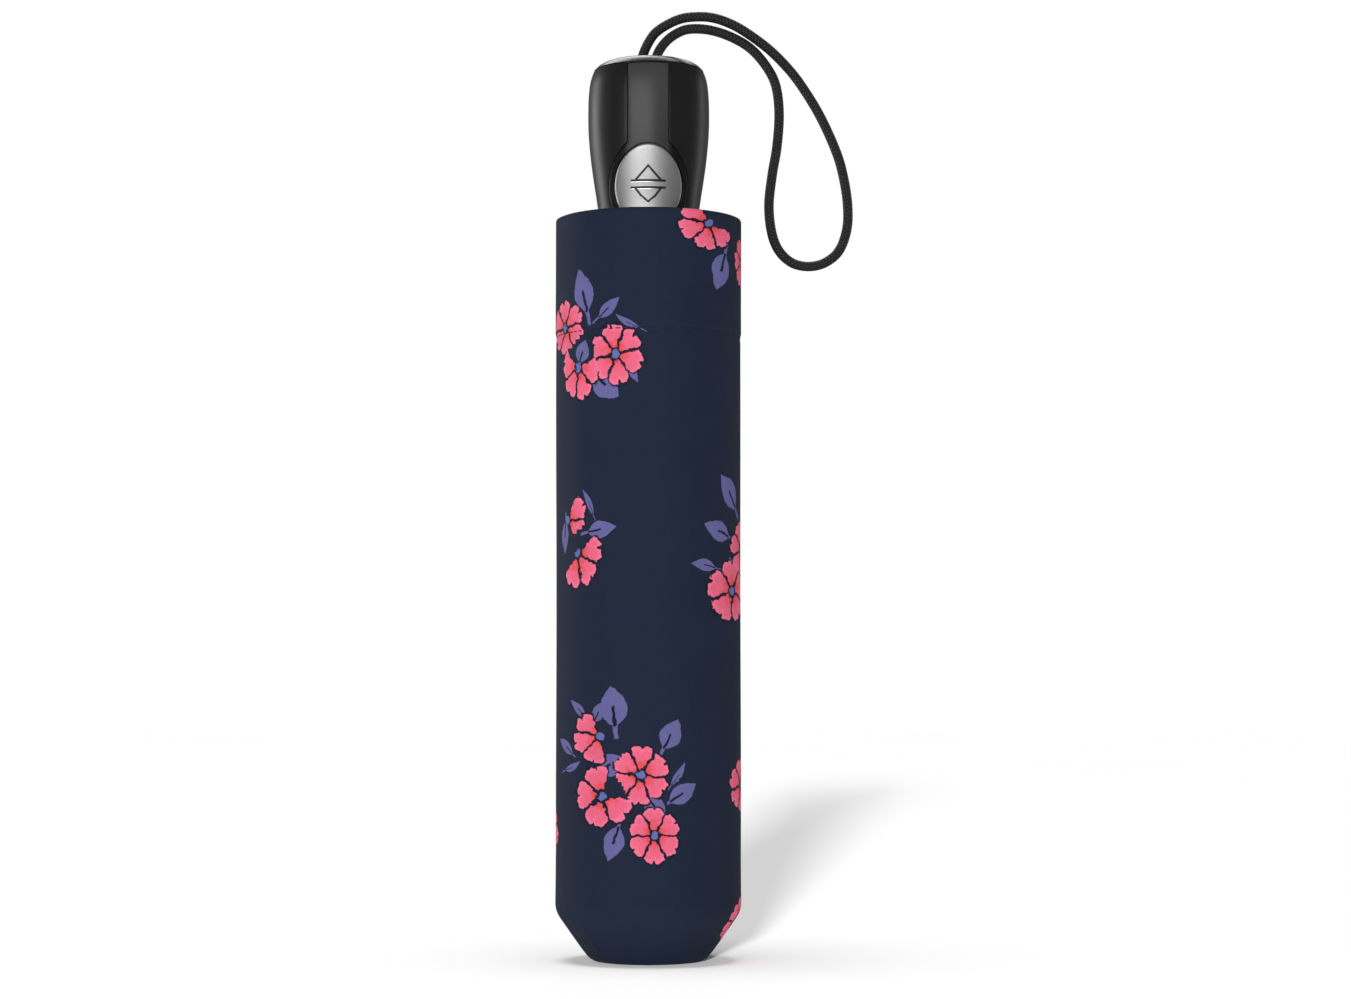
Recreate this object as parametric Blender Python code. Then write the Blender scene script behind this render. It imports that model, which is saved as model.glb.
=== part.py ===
"""Compact automatic folding umbrella, closed and standing in its fabric sleeve, handle up.

Metres, +Z up. The origin is the centre of the sleeve's foot. The push button faces -Y.
The handle, the telescopic shaft and the folded ribs are measured from the sleeve's rim and foot.
"""
import math

import bmesh
import bpy
from mathutils import Matrix, Vector

# Driving sizes of the sleeve
SLEEVE_HEIGHT = 0.227
SLEEVE_RADIUS = 0.0285
SLEEVE_WALL = 0.0008
FOOT_INSET = 0.011
CHAMFER_HEIGHT = 0.0154
FLOOR_INSET = 0.0005

# Gaps
TOUCH_GAP = 0.0003
ROW_GAP = 0.0006
SLEEVE_EASE = 0.0016
CUT_OVERRUN = 0.001
FORM_OVERRUN = 0.02

# Shaft
UPPER_TUBE_RADIUS = 0.0046
TUBE_WALL = 0.0005
TUBE_PIN_RADIUS = 0.001
TUBE_PIN_EDGE = 0.006
INNER_TUBE_DROP = 0.009
SPRING_WIRE = 0.00045
SPRING_PITCH = 0.012
SPRING_SEAT_RISE = 0.014
SPRING_SEAT_HEIGHT = 0.005
SPRING_PLUG_HEIGHT = 0.004

# Crown, tip cap and runner
TIP_CAP_HEIGHT = 0.0075
TIP_CAP_FACE_SHARE = 0.7
TIP_CAP_BEVEL_SHARE = 0.45
CROWN_HEIGHT = 0.0114
CROWN_EYE_RISE = 0.0054
CROWN_HUB_WALL = 0.0014
CROWN_FLOOR = 0.0021
RUNNER_HEIGHT = 0.009
RUNNER_HUB_WALL = 0.0008
RUNNER_NECK_WALL = 0.0017
RUNNER_NECK_HEIGHT = 0.008
HINGE_WIRE = 0.0004
HUB_LIP = 0.0015
HUB_SLOT_SILL = 0.002
RUNNER_DROP = 0.006

# Ribs
RIB_COUNT = 8
RIB_WIDTH = 0.0028
RIB_WALL = 0.0005
STRETCHER_DEPTH = 0.0018
TOP_RIB_DEPTH = 0.0024
MIDDLE_RIB_DEPTH = 0.0022
END_BLOCK_DEPTH = 0.002
END_RIB_RADIUS = 0.0009
RIB_TIP_RADIUS = 0.0015
RIB_TIP_LENGTH = 0.0078
RIB_TIP_NECK = 0.0011
RIB_TIP_NOSE = 0.0031
BLOCK_DROP = 0.0018
BLOCK_RISE = 0.0044
BLOCK_CHEEK_RISE = 0.0015
TIP_CLEARANCE = 0.004
EYE_HALF = 0.0011
TONGUE_HALF = 0.0008
PIN_RADIUS = 0.00045
PIN_HOLE_RADIUS = 0.00075
STRETCHER_JOINT_SHARE = 0.43
STRETCHER_EASE = 0.0008
TOP_JOINT_DROP = 0.009
LOW_JOINT_RISE = 0.015
CHANNEL_RISE = 0.002
LUG_REACH = 0.0013
LUG_RISE = 0.002
LUG_SLOPE = 0.002
LUG_DROP = 0.0025
BEND_LENGTH = 0.003

# Canopy, strap and snap
CANOPY_WALL = 0.007
CANOPY_EDGE_DROP = 0.010
CANOPY_FOOT_RISE = 0.003
CANOPY_FOOT_EASE = 0.0015
CANOPY_SHOULDER_EASE = 0.002
CANOPY_CONE_DROP = 0.004
STRAP_WIDTH = 0.014
STRAP_THICKNESS = 0.0008
STRAP_DROP = 0.042
SNAP_RADIUS = 0.0045
SNAP_THICKNESS = 0.0006

# Handle, with heights counted from the sleeve's rim
HANDLE_OUTLINE = [
    (-0.0150, 0.0146),
    (0.0000, 0.0153),
    (0.0060, 0.0160),
    (0.0125, 0.0170),
    (0.0200, 0.0180),
    (0.0280, 0.01865),
    (0.0360, 0.0187),
    (0.0410, 0.0184),
    (0.0440, 0.0179),
    (0.0465, 0.0170),
]
HANDLE_BORE = 0.0125
CAP_OUTLINE = [(0.0167, 0.0470), (0.0158, 0.0479), (0.0145, 0.0487), (0.0128, 0.0493), (0.0095, 0.0499)]
CAP_TOP = 0.0505
CAP_SKIRT_DEPTH = 0.005
CAP_WALL = 0.0015
CAP_FLOOR = 0.0005
CAP_EDGE_INSET = 0.0001
EYELET_STAND = 0.0004
EYELET_HALF_LENGTH = 0.0049
EYELET_HALF_WIDTH = 0.0027
EYELET_DEPTH = 0.005
EYELET_PIT_EASE = 0.0005
PANEL_THICKNESS = 0.0012
PANEL_STRIP_HALF = 0.0062
PANEL_RING_SIDE = 0.0018
PANEL_RING_CROWN = 0.0028
FRONT_PRISM_END = 0.004

# Push button and its spring and catch
BUTTON_HEIGHT = 0.0087
BUTTON_HALF_WIDTH = 0.0102
BUTTON_HALF_HEIGHT = 0.0123
BUTTON_RIM = 0.0011
BUTTON_PROUD = 0.0004
BUTTON_THICKNESS = 0.0016
BUTTON_TRAVEL = 0.002
CUP_RADIUS = 0.0038
CUP_WALL = 0.0009
CUP_ROOT = 0.0008
CUP_DROP_SHARE = 0.35
BUTTON_SPRING_EASE = 0.0007
BUTTON_SPRING_WIRE = 0.0002
BUTTON_SPRING_TURNS = 2
CATCH_PIN_RADIUS = 0.0014
CATCH_PIN_RISE = 0.0068

# Mechanism housing
HOUSING_WALL = 0.0023
HOUSING_LOW = -0.010
HOUSING_HIGH = 0.041
HOUSING_TUBE_DROP = 0.006
FLANGE_HEIGHT = 0.003

# Wrist cord: route points in metres from the middle of the cap's top, through both strands
CORD_DIAMETER = 0.003
CORD_STRAND_OFFSET = 0.0022
CORD_ROUTE = [
    (-0.0022, 0.0, -0.0022), (-0.0022, 0.0, 0.0000), (-0.0014, 0.0, 0.0027), (-0.0001, -0.0002, 0.0054),
    (0.0020, -0.0003, 0.0084), (0.0055, -0.0004, 0.0109), (0.0101, -0.0005, 0.0129),
    (0.0150, -0.0005, 0.0135), (0.0196, -0.0005, 0.0132), (0.0245, -0.0004, 0.0117),
    (0.0296, -0.0003, 0.0090), (0.0366, -0.0002, 0.0039), (0.0421, 0.0, -0.0014),
    (0.0469, 0.0, -0.0074), (0.0529, 0.0, -0.0172), (0.0579, 0.0, -0.0283), (0.0602, 0.0, -0.0363),
    (0.0615, 0.0, -0.0450), (0.0613, 0.0, -0.0526), (0.0589, 0.0, -0.0594), (0.0545, 0.0, -0.0632),
    (0.0493, 0.0, -0.0644), (0.0442, 0.0, -0.0632), (0.0402, 0.0, -0.0594), (0.0380, 0.0, -0.0537),
    (0.0372, 0.0, -0.0454), (0.0382, 0.0, -0.0360), (0.0397, 0.0, -0.0271), (0.0404, 0.0, -0.0168),
    (0.0394, 0.0002, -0.0080), (0.0364, 0.0003, -0.0018), (0.0315, 0.0004, 0.0038),
    (0.0253, 0.0005, 0.0075), (0.0187, 0.0005, 0.0096), (0.0123, 0.0004, 0.0098),
    (0.0081, 0.0003, 0.0081), (0.0051, 0.0002, 0.0056), (0.0031, 0.0, 0.0027), (0.0022, 0.0, 0.0000),
    (0.0022, 0.0, -0.0022),
]
CORD_POINT_SPACING = 0.004
CORD_STEPS = 12

# Facets
FINE = 40
MEDIUM = 32
COARSE = 24
SMALL = 12
TINY = 8

# Sizes worked out from the driving sizes
sleeve_bore = SLEEVE_RADIUS - SLEEVE_WALL
foot_radius = SLEEVE_RADIUS - FOOT_INSET
tip_z = SLEEVE_WALL + TOUCH_GAP
crown_z = tip_z + TIP_CAP_HEIGHT
rim_z = SLEEVE_HEIGHT
handle_bottom_z = rim_z + HANDLE_OUTLINE[0][0]
runner_z = handle_bottom_z - RUNNER_HEIGHT - RUNNER_DROP
top_joint_z = runner_z - TOP_JOINT_DROP
low_joint_z = crown_z + CROWN_HEIGHT + LOW_JOINT_RISE
stretcher_joint_z = low_joint_z + (top_joint_z - low_joint_z) * STRETCHER_JOINT_SHARE
crown_eye_z = crown_z + CROWN_EYE_RISE
runner_eye_z = runner_z + RUNNER_HEIGHT / 2
crown_bore = UPPER_TUBE_RADIUS + TOUCH_GAP
crown_slot_radius = crown_bore + CROWN_HUB_WALL
crown_eye_radius = crown_slot_radius + 2 * TOUCH_GAP + EYE_HALF
crown_radius = crown_eye_radius + HUB_LIP
tip_cap_radius = crown_radius + TOUCH_GAP
upper_tube_bore = UPPER_TUBE_RADIUS - TUBE_WALL
middle_tube_bore = UPPER_TUBE_RADIUS + TOUCH_GAP
middle_tube_radius = middle_tube_bore + TUBE_WALL
outer_tube_bore = middle_tube_radius + TOUCH_GAP
outer_tube_radius = outer_tube_bore + TUBE_WALL
housing_bore = outer_tube_radius + TOUCH_GAP
housing_radius = housing_bore + HOUSING_WALL
runner_bore = outer_tube_radius + TOUCH_GAP
runner_slot_radius = runner_bore + RUNNER_HUB_WALL
runner_eye_radius = runner_slot_radius + TOUCH_GAP + EYE_HALF
runner_radius = runner_eye_radius + HUB_LIP
tube_top_z = rim_z + HOUSING_HIGH - HOUSING_TUBE_DROP
tube_pin_z = tube_top_z - TUBE_PIN_EDGE
inner_tube_top_z = tube_pin_z - INNER_TUBE_DROP
stretcher_in = outer_tube_radius + STRETCHER_EASE
stretcher_out = stretcher_in + STRETCHER_DEPTH
top_rib_in = stretcher_out + ROW_GAP
top_rib_out = top_rib_in + TOP_RIB_DEPTH
middle_rib_in = top_rib_out + ROW_GAP
middle_rib_out = middle_rib_in + MIDDLE_RIB_DEPTH
end_block_in = middle_rib_out + ROW_GAP
end_block_out = end_block_in + END_BLOCK_DEPTH
half_rib = RIB_WIDTH / 2
half_slot = half_rib - RIB_WALL
half_tongue = half_slot - TOUCH_GAP
canopy_bore = math.hypot(end_block_out, half_rib) + ROW_GAP
canopy_radius = min(canopy_bore + CANOPY_WALL, sleeve_bore - SLEEVE_EASE - STRAP_THICKNESS - TOUCH_GAP)
canopy_top_z = rim_z - CANOPY_EDGE_DROP


# ---------------------------------------------------------------- helpers

def clear_scene():
    for old in list(bpy.data.objects):
        bpy.data.objects.remove(old, do_unlink=True)


def make_material(name, colour, roughness, metallic=0.0):
    material = bpy.data.materials.new(name)
    material.use_nodes = True
    shader = material.node_tree.nodes["Principled BSDF"]
    shader.inputs["Base Color"].default_value = (*colour, 1.0)
    shader.inputs["Roughness"].default_value = roughness
    shader.inputs["Metallic"].default_value = metallic
    material.diffuse_color = (*colour, 1.0)
    return material


def make_empty(name, height, parent=None):
    empty = bpy.data.objects.new(name, None)
    empty.empty_display_size = 0.01
    bpy.context.scene.collection.objects.link(empty)
    empty.parent = parent
    empty.location.z = height - (parent.location.z if parent else 0.0)
    return empty


def place(name, mesh, material, parent, turn=0.0):
    """Adds a piece whose mesh is drawn in world heights; its origin is its parent empty's."""
    piece = bpy.data.objects.new(name, mesh)
    bpy.context.scene.collection.objects.link(piece)
    if not mesh.materials:
        mesh.materials.append(material)
    piece.parent = parent
    piece.rotation_euler.z = turn
    return piece


def world_height(parent):
    height = 0.0
    while parent:
        height += parent.location.z
        parent = parent.parent
    return height


def finish_mesh(name, bm, sharp_degrees=35):
    bmesh.ops.remove_doubles(bm, verts=bm.verts, dist=1e-7)
    bmesh.ops.recalc_face_normals(bm, faces=bm.faces)
    mesh = bpy.data.meshes.new(name)
    bm.to_mesh(mesh)
    bm.free()
    mesh.shade_smooth()
    mesh.set_sharp_from_angle(angle=math.radians(sharp_degrees))
    return mesh


def turned(profile, segments, name="turned"):
    """A solid of revolution about Z from a closed outline of (radius, height)."""
    bm = bmesh.new()
    rings = []
    for radius, height in profile:
        if radius < 1e-9:
            rings.append([bm.verts.new((0.0, 0.0, height))] * segments)
            continue
        ring = []
        for k in range(segments):
            angle = 2 * math.pi * k / segments
            ring.append(bm.verts.new((radius * math.cos(angle), radius * math.sin(angle), height)))
        rings.append(ring)
    for ring, following in zip(rings, rings[1:] + rings[:1]):
        for k in range(segments):
            n = (k + 1) % segments
            corners = []
            for vert in (ring[k], ring[n], following[n], following[k]):
                if vert not in corners:
                    corners.append(vert)
            if len(corners) > 2:
                bm.faces.new(corners)
    return finish_mesh(name, bm)


def extruded(outline, axis, low, high, name="extruded"):
    """A prism: the outline is (x, z) along Y, (x, y) along Z or (y, z) along X."""
    bm = bmesh.new()
    ends = []
    for level in (low, high):
        ring = []
        for a, b in outline:
            point = {"X": (level, a, b), "Y": (a, level, b), "Z": (a, b, level)}[axis]
            ring.append(bm.verts.new(point))
        ends.append(ring)
    bm.faces.new(ends[0])
    bm.faces.new(ends[1])
    count = len(outline)
    for k in range(count):
        n = (k + 1) % count
        bm.faces.new((ends[0][k], ends[0][n], ends[1][n], ends[1][k]))
    return finish_mesh(name, bm)


def box(low, high):
    outline = [(low[0], low[1]), (high[0], low[1]), (high[0], high[1]), (low[0], high[1])]
    return extruded(outline, "Z", low[2], high[2])


def arc(half_width, half_height, centre, sides, start, sweep):
    """Points along an elliptical arc, both ends included."""
    points = []
    for k in range(sides + 1):
        angle = start + sweep * k / sides
        points.append((centre[0] + half_width * math.cos(angle), centre[1] + half_height * math.sin(angle)))
    return points


def ellipse(half_width, half_height, centre, sides=MEDIUM):
    """A closed ellipse with no corner on its axes, so its cuts never run along a turned form's edges."""
    half_step = math.pi / sides
    return arc(half_width, half_height, centre, sides, half_step, 2 * math.pi)[:-1]


def combined(base, tools, operation):
    """Applies exact booleans of the tool meshes to the base mesh and returns the result."""
    target = bpy.data.objects.new("work", base)
    bpy.context.scene.collection.objects.link(target)
    helpers = []
    for tool in tools:
        helper = bpy.data.objects.new("tool", tool)
        helper.hide_render = True
        helper.display_type = "WIRE"
        bpy.context.scene.collection.objects.link(helper)
        modifier = target.modifiers.new("cut", "BOOLEAN")
        modifier.operation = operation
        modifier.solver = "EXACT"
        modifier.object = helper
        helpers.append(helper)
    graph = bpy.context.evaluated_depsgraph_get()
    result = bpy.data.meshes.new_from_object(target.evaluated_get(graph))
    for used in (target, *helpers):
        bpy.data.objects.remove(used, do_unlink=True)
    bm = bmesh.new()
    bm.from_mesh(result)
    bmesh.ops.dissolve_degenerate(bm, edges=bm.edges, dist=1e-7)
    return finish_mesh("combined", bm)


def cut(base, *tools):
    return combined(base, tools, "DIFFERENCE")


def joined(base, *tools):
    return combined(base, tools, "UNION")


def common(base, *tools):
    return combined(base, tools, "INTERSECT")


def moved(mesh, matrix):
    copy = mesh.copy()
    copy.transform(matrix)
    return copy


def lowered(mesh, parent):
    """Draws a world-height mesh in its parent empty's frame."""
    return moved(mesh, Matrix.Translation((0.0, 0.0, -world_height(parent))))


def curve_through(points, steps):
    """Catmull-Rom points through the given points, with the given steps between neighbours."""
    vectors = [Vector(p) for p in points]
    padded = [2 * vectors[0] - vectors[1], *vectors, 2 * vectors[-1] - vectors[-2]]
    line = []
    for a, b, c, d in zip(padded, padded[1:], padded[2:], padded[3:]):
        for k in range(steps):
            t = k / steps
            bend = (2 * a - 5 * b + 4 * c - d) * t * t + (3 * b - a - 3 * c + d) * t ** 3
            line.append(0.5 * (2 * b + (c - a) * t + bend))
    line.append(vectors[-1])
    return line


def spaced(line, spacing):
    """Points at equal distances along a dense line, ends kept."""
    lengths = [0.0]
    for a, b in zip(line, line[1:]):
        lengths.append(lengths[-1] + (b - a).length)
    count = max(2, round(lengths[-1] / spacing))
    points = []
    at = 0
    for k in range(count + 1):
        wanted = lengths[-1] * k / count
        while at < len(line) - 2 and lengths[at + 1] < wanted:
            at += 1
        share = (wanted - lengths[at]) / (lengths[at + 1] - lengths[at])
        points.append(line[at].lerp(line[at + 1], min(1.0, share)))
    return points


def swept(points, radius, sides):
    """A round bar with flat ends along a line of points."""
    bm = bmesh.new()
    rings = []
    start = (points[1] - points[0]).normalized()
    side = Vector((0.0, 1.0, 0.0)) if abs(start.y) < 0.9 else Vector((1.0, 0.0, 0.0))
    for k, point in enumerate(points):
        ahead = points[min(k + 1, len(points) - 1)] - points[max(k - 1, 0)]
        ahead.normalize()
        side = (side - ahead * side.dot(ahead)).normalized()
        up = ahead.cross(side)
        ring = []
        for n in range(sides):
            angle = 2 * math.pi * n / sides
            outward = side * math.cos(angle) + up * math.sin(angle)
            ring.append(bm.verts.new(point + outward * radius))
        rings.append(ring)
    for ring, following in zip(rings, rings[1:]):
        for n in range(sides):
            m = (n + 1) % sides
            bm.faces.new((ring[n], ring[m], following[m], following[n]))
    bm.faces.new(rings[0])
    bm.faces.new(rings[-1])
    return finish_mesh("swept", bm)


def coil(radius, wire, length, turns, sides_per_turn=10, wire_sides=5):
    """A helical spring about Z that starts at height 0, measured over the wire."""
    rise = length - 2 * wire
    steps = round(turns * sides_per_turn)
    points = []
    for k in range(steps + 1):
        angle = 2 * math.pi * turns * k / steps
        points.append(Vector((radius * math.cos(angle), radius * math.sin(angle), wire + rise * k / steps)))
    return swept(points, wire, wire_sides)


def ring_wire(radius, wire, height):
    profile = ellipse(wire, wire, (radius, height), TINY)
    return turned(profile, COARSE)


def round_bar(radius, low, high, axis, at, sides=SMALL):
    return extruded(ellipse(radius, radius, at, sides), axis, low, high)


# ---------------------------------------------------------------- sleeve

def build_sleeve():
    slope = (SLEEVE_RADIUS - foot_radius) / CHAMFER_HEIGHT
    floor_edge = foot_radius - FLOOR_INSET
    shoulder = SLEEVE_WALL + (sleeve_bore - floor_edge) / slope
    profile = [
        (0.0, 0.0),
        (foot_radius, 0.0),
        (SLEEVE_RADIUS, CHAMFER_HEIGHT),
        (SLEEVE_RADIUS, SLEEVE_HEIGHT),
        (sleeve_bore, SLEEVE_HEIGHT),
        (sleeve_bore, shoulder),
        (floor_edge, SLEEVE_WALL),
        (0.0, SLEEVE_WALL),
    ]
    place("sleeve", turned(profile, FINE), navy_print, None)


# ---------------------------------------------------------------- tip cap, crown, runner

def radial_slots(low_z, high_z, from_radius, half_width):
    tool = box((from_radius, -half_width, low_z), (SLEEVE_RADIUS, half_width, high_z))
    return [moved(tool, Matrix.Rotation(rib_angle(k), 4, "Z")) for k in range(RIB_COUNT)]


def rib_angle(k):
    return 2 * math.pi * (k + 0.5) / RIB_COUNT


def hub_with_groove(low_z, high_z, radius, bore, eye_radius, eye_z, shelf=None):
    """A slotted hub's turned blank, with the groove that holds its ring of wire."""
    groove = HINGE_WIRE + TOUCH_GAP
    profile = [
        (radius, high_z),
        (radius, eye_z + groove),
        (eye_radius - groove, eye_z + groove),
        (eye_radius - groove, eye_z - groove),
        (radius, eye_z - groove),
        (radius, low_z),
    ]
    if shelf:
        profile += [(0.0, low_z), (0.0, shelf), (bore, shelf), (bore, high_z)]
    else:
        profile += [(bore, low_z), (bore, high_z)]
    return profile


def build_tip_cap():
    radius = tip_cap_radius
    profile = [
        (0.0, tip_z),
        (radius * TIP_CAP_FACE_SHARE, tip_z),
        (radius, tip_z + TIP_CAP_HEIGHT * TIP_CAP_BEVEL_SHARE),
        (radius, tip_z + TIP_CAP_HEIGHT - TOUCH_GAP),
        (0.0, tip_z + TIP_CAP_HEIGHT - TOUCH_GAP),
    ]
    place("tip_cap", lowered(turned(profile, MEDIUM), frame_unit), satin_black, frame_unit)


def build_crown():
    shelf = crown_z + CROWN_FLOOR
    top = crown_z + CROWN_HEIGHT
    profile = hub_with_groove(crown_z, top, crown_radius, crown_bore, crown_eye_radius, crown_eye_z, shelf)
    sill = crown_eye_z - HUB_SLOT_SILL
    slots = radial_slots(sill, top + CUT_OVERRUN, crown_slot_radius, half_rib + TOUCH_GAP)
    crown = cut(turned(profile, MEDIUM), *slots)
    place("crown", lowered(crown, frame_unit), satin_black, frame_unit)
    wire = ring_wire(crown_eye_radius, HINGE_WIRE, crown_eye_z)
    place("crown_wire", lowered(wire, frame_unit), steel_wire, frame_unit)


def build_runner():
    top = runner_z + RUNNER_HEIGHT
    profile = hub_with_groove(runner_z, top, runner_radius, runner_bore, runner_eye_radius, runner_eye_z)
    neck_top = top + RUNNER_NECK_HEIGHT
    neck_radius = runner_bore + RUNNER_NECK_WALL
    profile = profile[:-1] + [(runner_bore, neck_top), (neck_radius, neck_top), (neck_radius, top)]
    sill = runner_eye_z + HUB_SLOT_SILL
    slots = radial_slots(runner_z - CUT_OVERRUN, sill, runner_slot_radius, half_tongue + TOUCH_GAP)
    runner = cut(turned(profile, MEDIUM), *slots)
    place("runner", lowered(runner, frame_unit), satin_black, frame_unit)
    wire = ring_wire(runner_eye_radius, HINGE_WIRE, runner_eye_z)
    place("runner_wire", lowered(wire, frame_unit), steel_wire, frame_unit)


# ---------------------------------------------------------------- shaft

def tube(low, high, bore, radius):
    profile = [(radius, high), (radius, low), (bore, low), (bore, high)]
    return turned(profile, COARSE)


def tube_pin_hole():
    return round_bar(TUBE_PIN_RADIUS + TOUCH_GAP, -HANDLE_BORE, HANDLE_BORE, "X", (0.0, tube_pin_z))


def build_shaft():
    upper_low = crown_z + CROWN_FLOOR + TOUCH_GAP
    upper = tube(upper_low, inner_tube_top_z - TUBE_WALL, upper_tube_bore, UPPER_TUBE_RADIUS)
    place("upper_tube", lowered(upper, frame_unit), bright_steel, frame_unit)

    middle_low = crown_z + CROWN_HEIGHT + TOUCH_GAP
    middle = tube(middle_low, inner_tube_top_z, middle_tube_bore, middle_tube_radius)
    place("middle_tube", lowered(middle, middle_unit), bright_steel, middle_unit)

    outer = tube(middle_low + TUBE_WALL, tube_top_z, outer_tube_bore, outer_tube_radius)
    outer = cut(outer, tube_pin_hole())
    place("outer_tube", lowered(outer, handle_unit), bright_steel, handle_unit)

    pin_reach = housing_radius - TOUCH_GAP
    pin = round_bar(TUBE_PIN_RADIUS, -pin_reach, pin_reach, "X", (0.0, tube_pin_z))
    place("tube_pin", lowered(pin, handle_unit), steel_wire, handle_unit)

    seat_low = upper_low + SPRING_SEAT_RISE
    seat_high = seat_low + SPRING_SEAT_HEIGHT
    seat = round_bar(upper_tube_bore - TOUCH_GAP, seat_low, seat_high, "Z", (0.0, 0.0), COARSE)
    place("spring_seat", lowered(seat, frame_unit), satin_black, frame_unit)

    plug_high = tube_pin_z - TUBE_PIN_RADIUS - TOUCH_GAP
    plug_low = plug_high - SPRING_PLUG_HEIGHT
    plug = round_bar(outer_tube_bore - TOUCH_GAP, plug_low, plug_high, "Z", (0.0, 0.0), COARSE)
    place("spring_plug", lowered(plug, handle_unit), satin_black, handle_unit)

    spring_low = seat_high + TOUCH_GAP
    spring_length = plug_low - TOUCH_GAP - spring_low
    spring_radius = upper_tube_bore - SPRING_WIRE - TOUCH_GAP
    spring = coil(spring_radius, SPRING_WIRE, spring_length, spring_length / SPRING_PITCH)
    spring.transform(Matrix.Translation((0.0, 0.0, spring_low)))
    place("opening_spring", lowered(spring, frame_unit), steel_wire, frame_unit)


# ---------------------------------------------------------------- ribs

def pin_hole_at(x, z):
    return round_bar(PIN_HOLE_RADIUS, -RIB_WIDTH, RIB_WIDTH, "Y", (x, z), TINY)


def rivet_at(x, z):
    """A rivet that joins the two cheeks of a fork; the piece between them turns on it."""
    reach = half_rib - RIB_WALL / 2
    return round_bar(PIN_RADIUS, -reach, reach, "Y", (x, z), TINY)


def joint_places():
    """Radius and height of the three rivets of one rib: top, low and stretcher joints."""
    return {
        "top": (middle_rib_in + EYE_HALF, top_joint_z),
        "low": (middle_rib_in + EYE_HALF, low_joint_z),
        "stretcher": (top_rib_in + TONGUE_HALF, stretcher_joint_z),
    }


def top_rib_mesh():
    joints = joint_places()
    lug_out = joints["top"][0] + LUG_REACH
    lug_low = top_joint_z - LUG_DROP
    lug_high = top_joint_z + LUG_RISE
    foot_in = crown_eye_radius - EYE_HALF
    foot_out = crown_eye_radius + EYE_HALF
    channel_z = crown_z + CROWN_HEIGHT + CHANNEL_RISE
    outline = [
        (foot_in, crown_eye_z - EYE_HALF),
        (foot_out, crown_eye_z - EYE_HALF),
        (top_rib_out, channel_z - BEND_LENGTH),
        (top_rib_out, lug_low - LUG_SLOPE),
        (lug_out, lug_low),
        (lug_out, lug_high),
        (top_rib_in, lug_high),
        (top_rib_in, channel_z - CUT_OVERRUN),
        (foot_in, crown_eye_z + EYE_HALF),
    ]
    bar = extruded(outline, "Y", -half_rib, half_rib)
    inside = top_rib_in - CUT_OVERRUN
    end = lug_high + CUT_OVERRUN
    channel = box((inside, -half_slot, channel_z), (top_rib_out - RIB_WALL, half_slot, end))
    fork_low = lug_low - LUG_SLOPE - CUT_OVERRUN
    fork = box((inside, -half_slot, fork_low), (lug_out + CUT_OVERRUN, half_slot, end))
    bar = cut(bar, channel, fork, pin_hole_at(crown_eye_radius, crown_eye_z))
    return joined(bar, rivet_at(*joints["top"]), rivet_at(*joints["stretcher"]))


def middle_rib_mesh():
    joints = joint_places()
    eye = joints["top"][0]
    outline = [
        (eye - EYE_HALF, low_joint_z - EYE_HALF),
        (eye + EYE_HALF, low_joint_z - EYE_HALF),
        (middle_rib_out, low_joint_z + 2 * EYE_HALF),
        (middle_rib_out, top_joint_z - 2 * EYE_HALF),
        (eye + EYE_HALF, top_joint_z + EYE_HALF),
        (eye - EYE_HALF, top_joint_z + EYE_HALF),
    ]
    bar = extruded(outline, "Y", -half_tongue, half_tongue)
    return cut(bar, pin_hole_at(*joints["top"]), pin_hole_at(*joints["low"]))


def end_rib_mesh():
    low_x, low_z = joint_places()["low"]
    block_low = low_z - BLOCK_DROP
    block_high = low_z + BLOCK_RISE
    cheek_in = low_x - EYE_HALF - TOUCH_GAP / 2
    outline = [
        (cheek_in, block_low),
        (end_block_out, block_low),
        (end_block_out, block_high),
        (end_block_in, block_high),
        (cheek_in, low_z + BLOCK_CHEEK_RISE),
    ]
    block = extruded(outline, "Y", -half_rib, half_rib)
    slot_low = (cheek_in - CUT_OVERRUN, -half_slot, block_low - CUT_OVERRUN)
    slot = box(slot_low, (end_block_in, half_slot, block_high + CUT_OVERRUN))
    middle = (end_block_in + end_block_out) / 2
    tip_high = handle_bottom_z - TIP_CLEARANCE
    tip_low = tip_high - RIB_TIP_LENGTH
    rod_low = block_high - CUT_OVERRUN
    rod = round_bar(END_RIB_RADIUS, rod_low, tip_low + CUT_OVERRUN, "Z", (middle, 0.0), TINY)
    tip_profile = [
        (0.0, tip_low),
        (RIB_TIP_NECK, tip_low),
        (RIB_TIP_RADIUS, tip_high - RIB_TIP_NOSE),
        (RIB_TIP_NECK, tip_high),
        (0.0, tip_high),
    ]
    tip = moved(turned(tip_profile, SMALL), Matrix.Translation((middle, 0.0, 0.0)))
    return joined(cut(block, slot), rivet_at(low_x, low_z), rod, tip)


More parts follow.
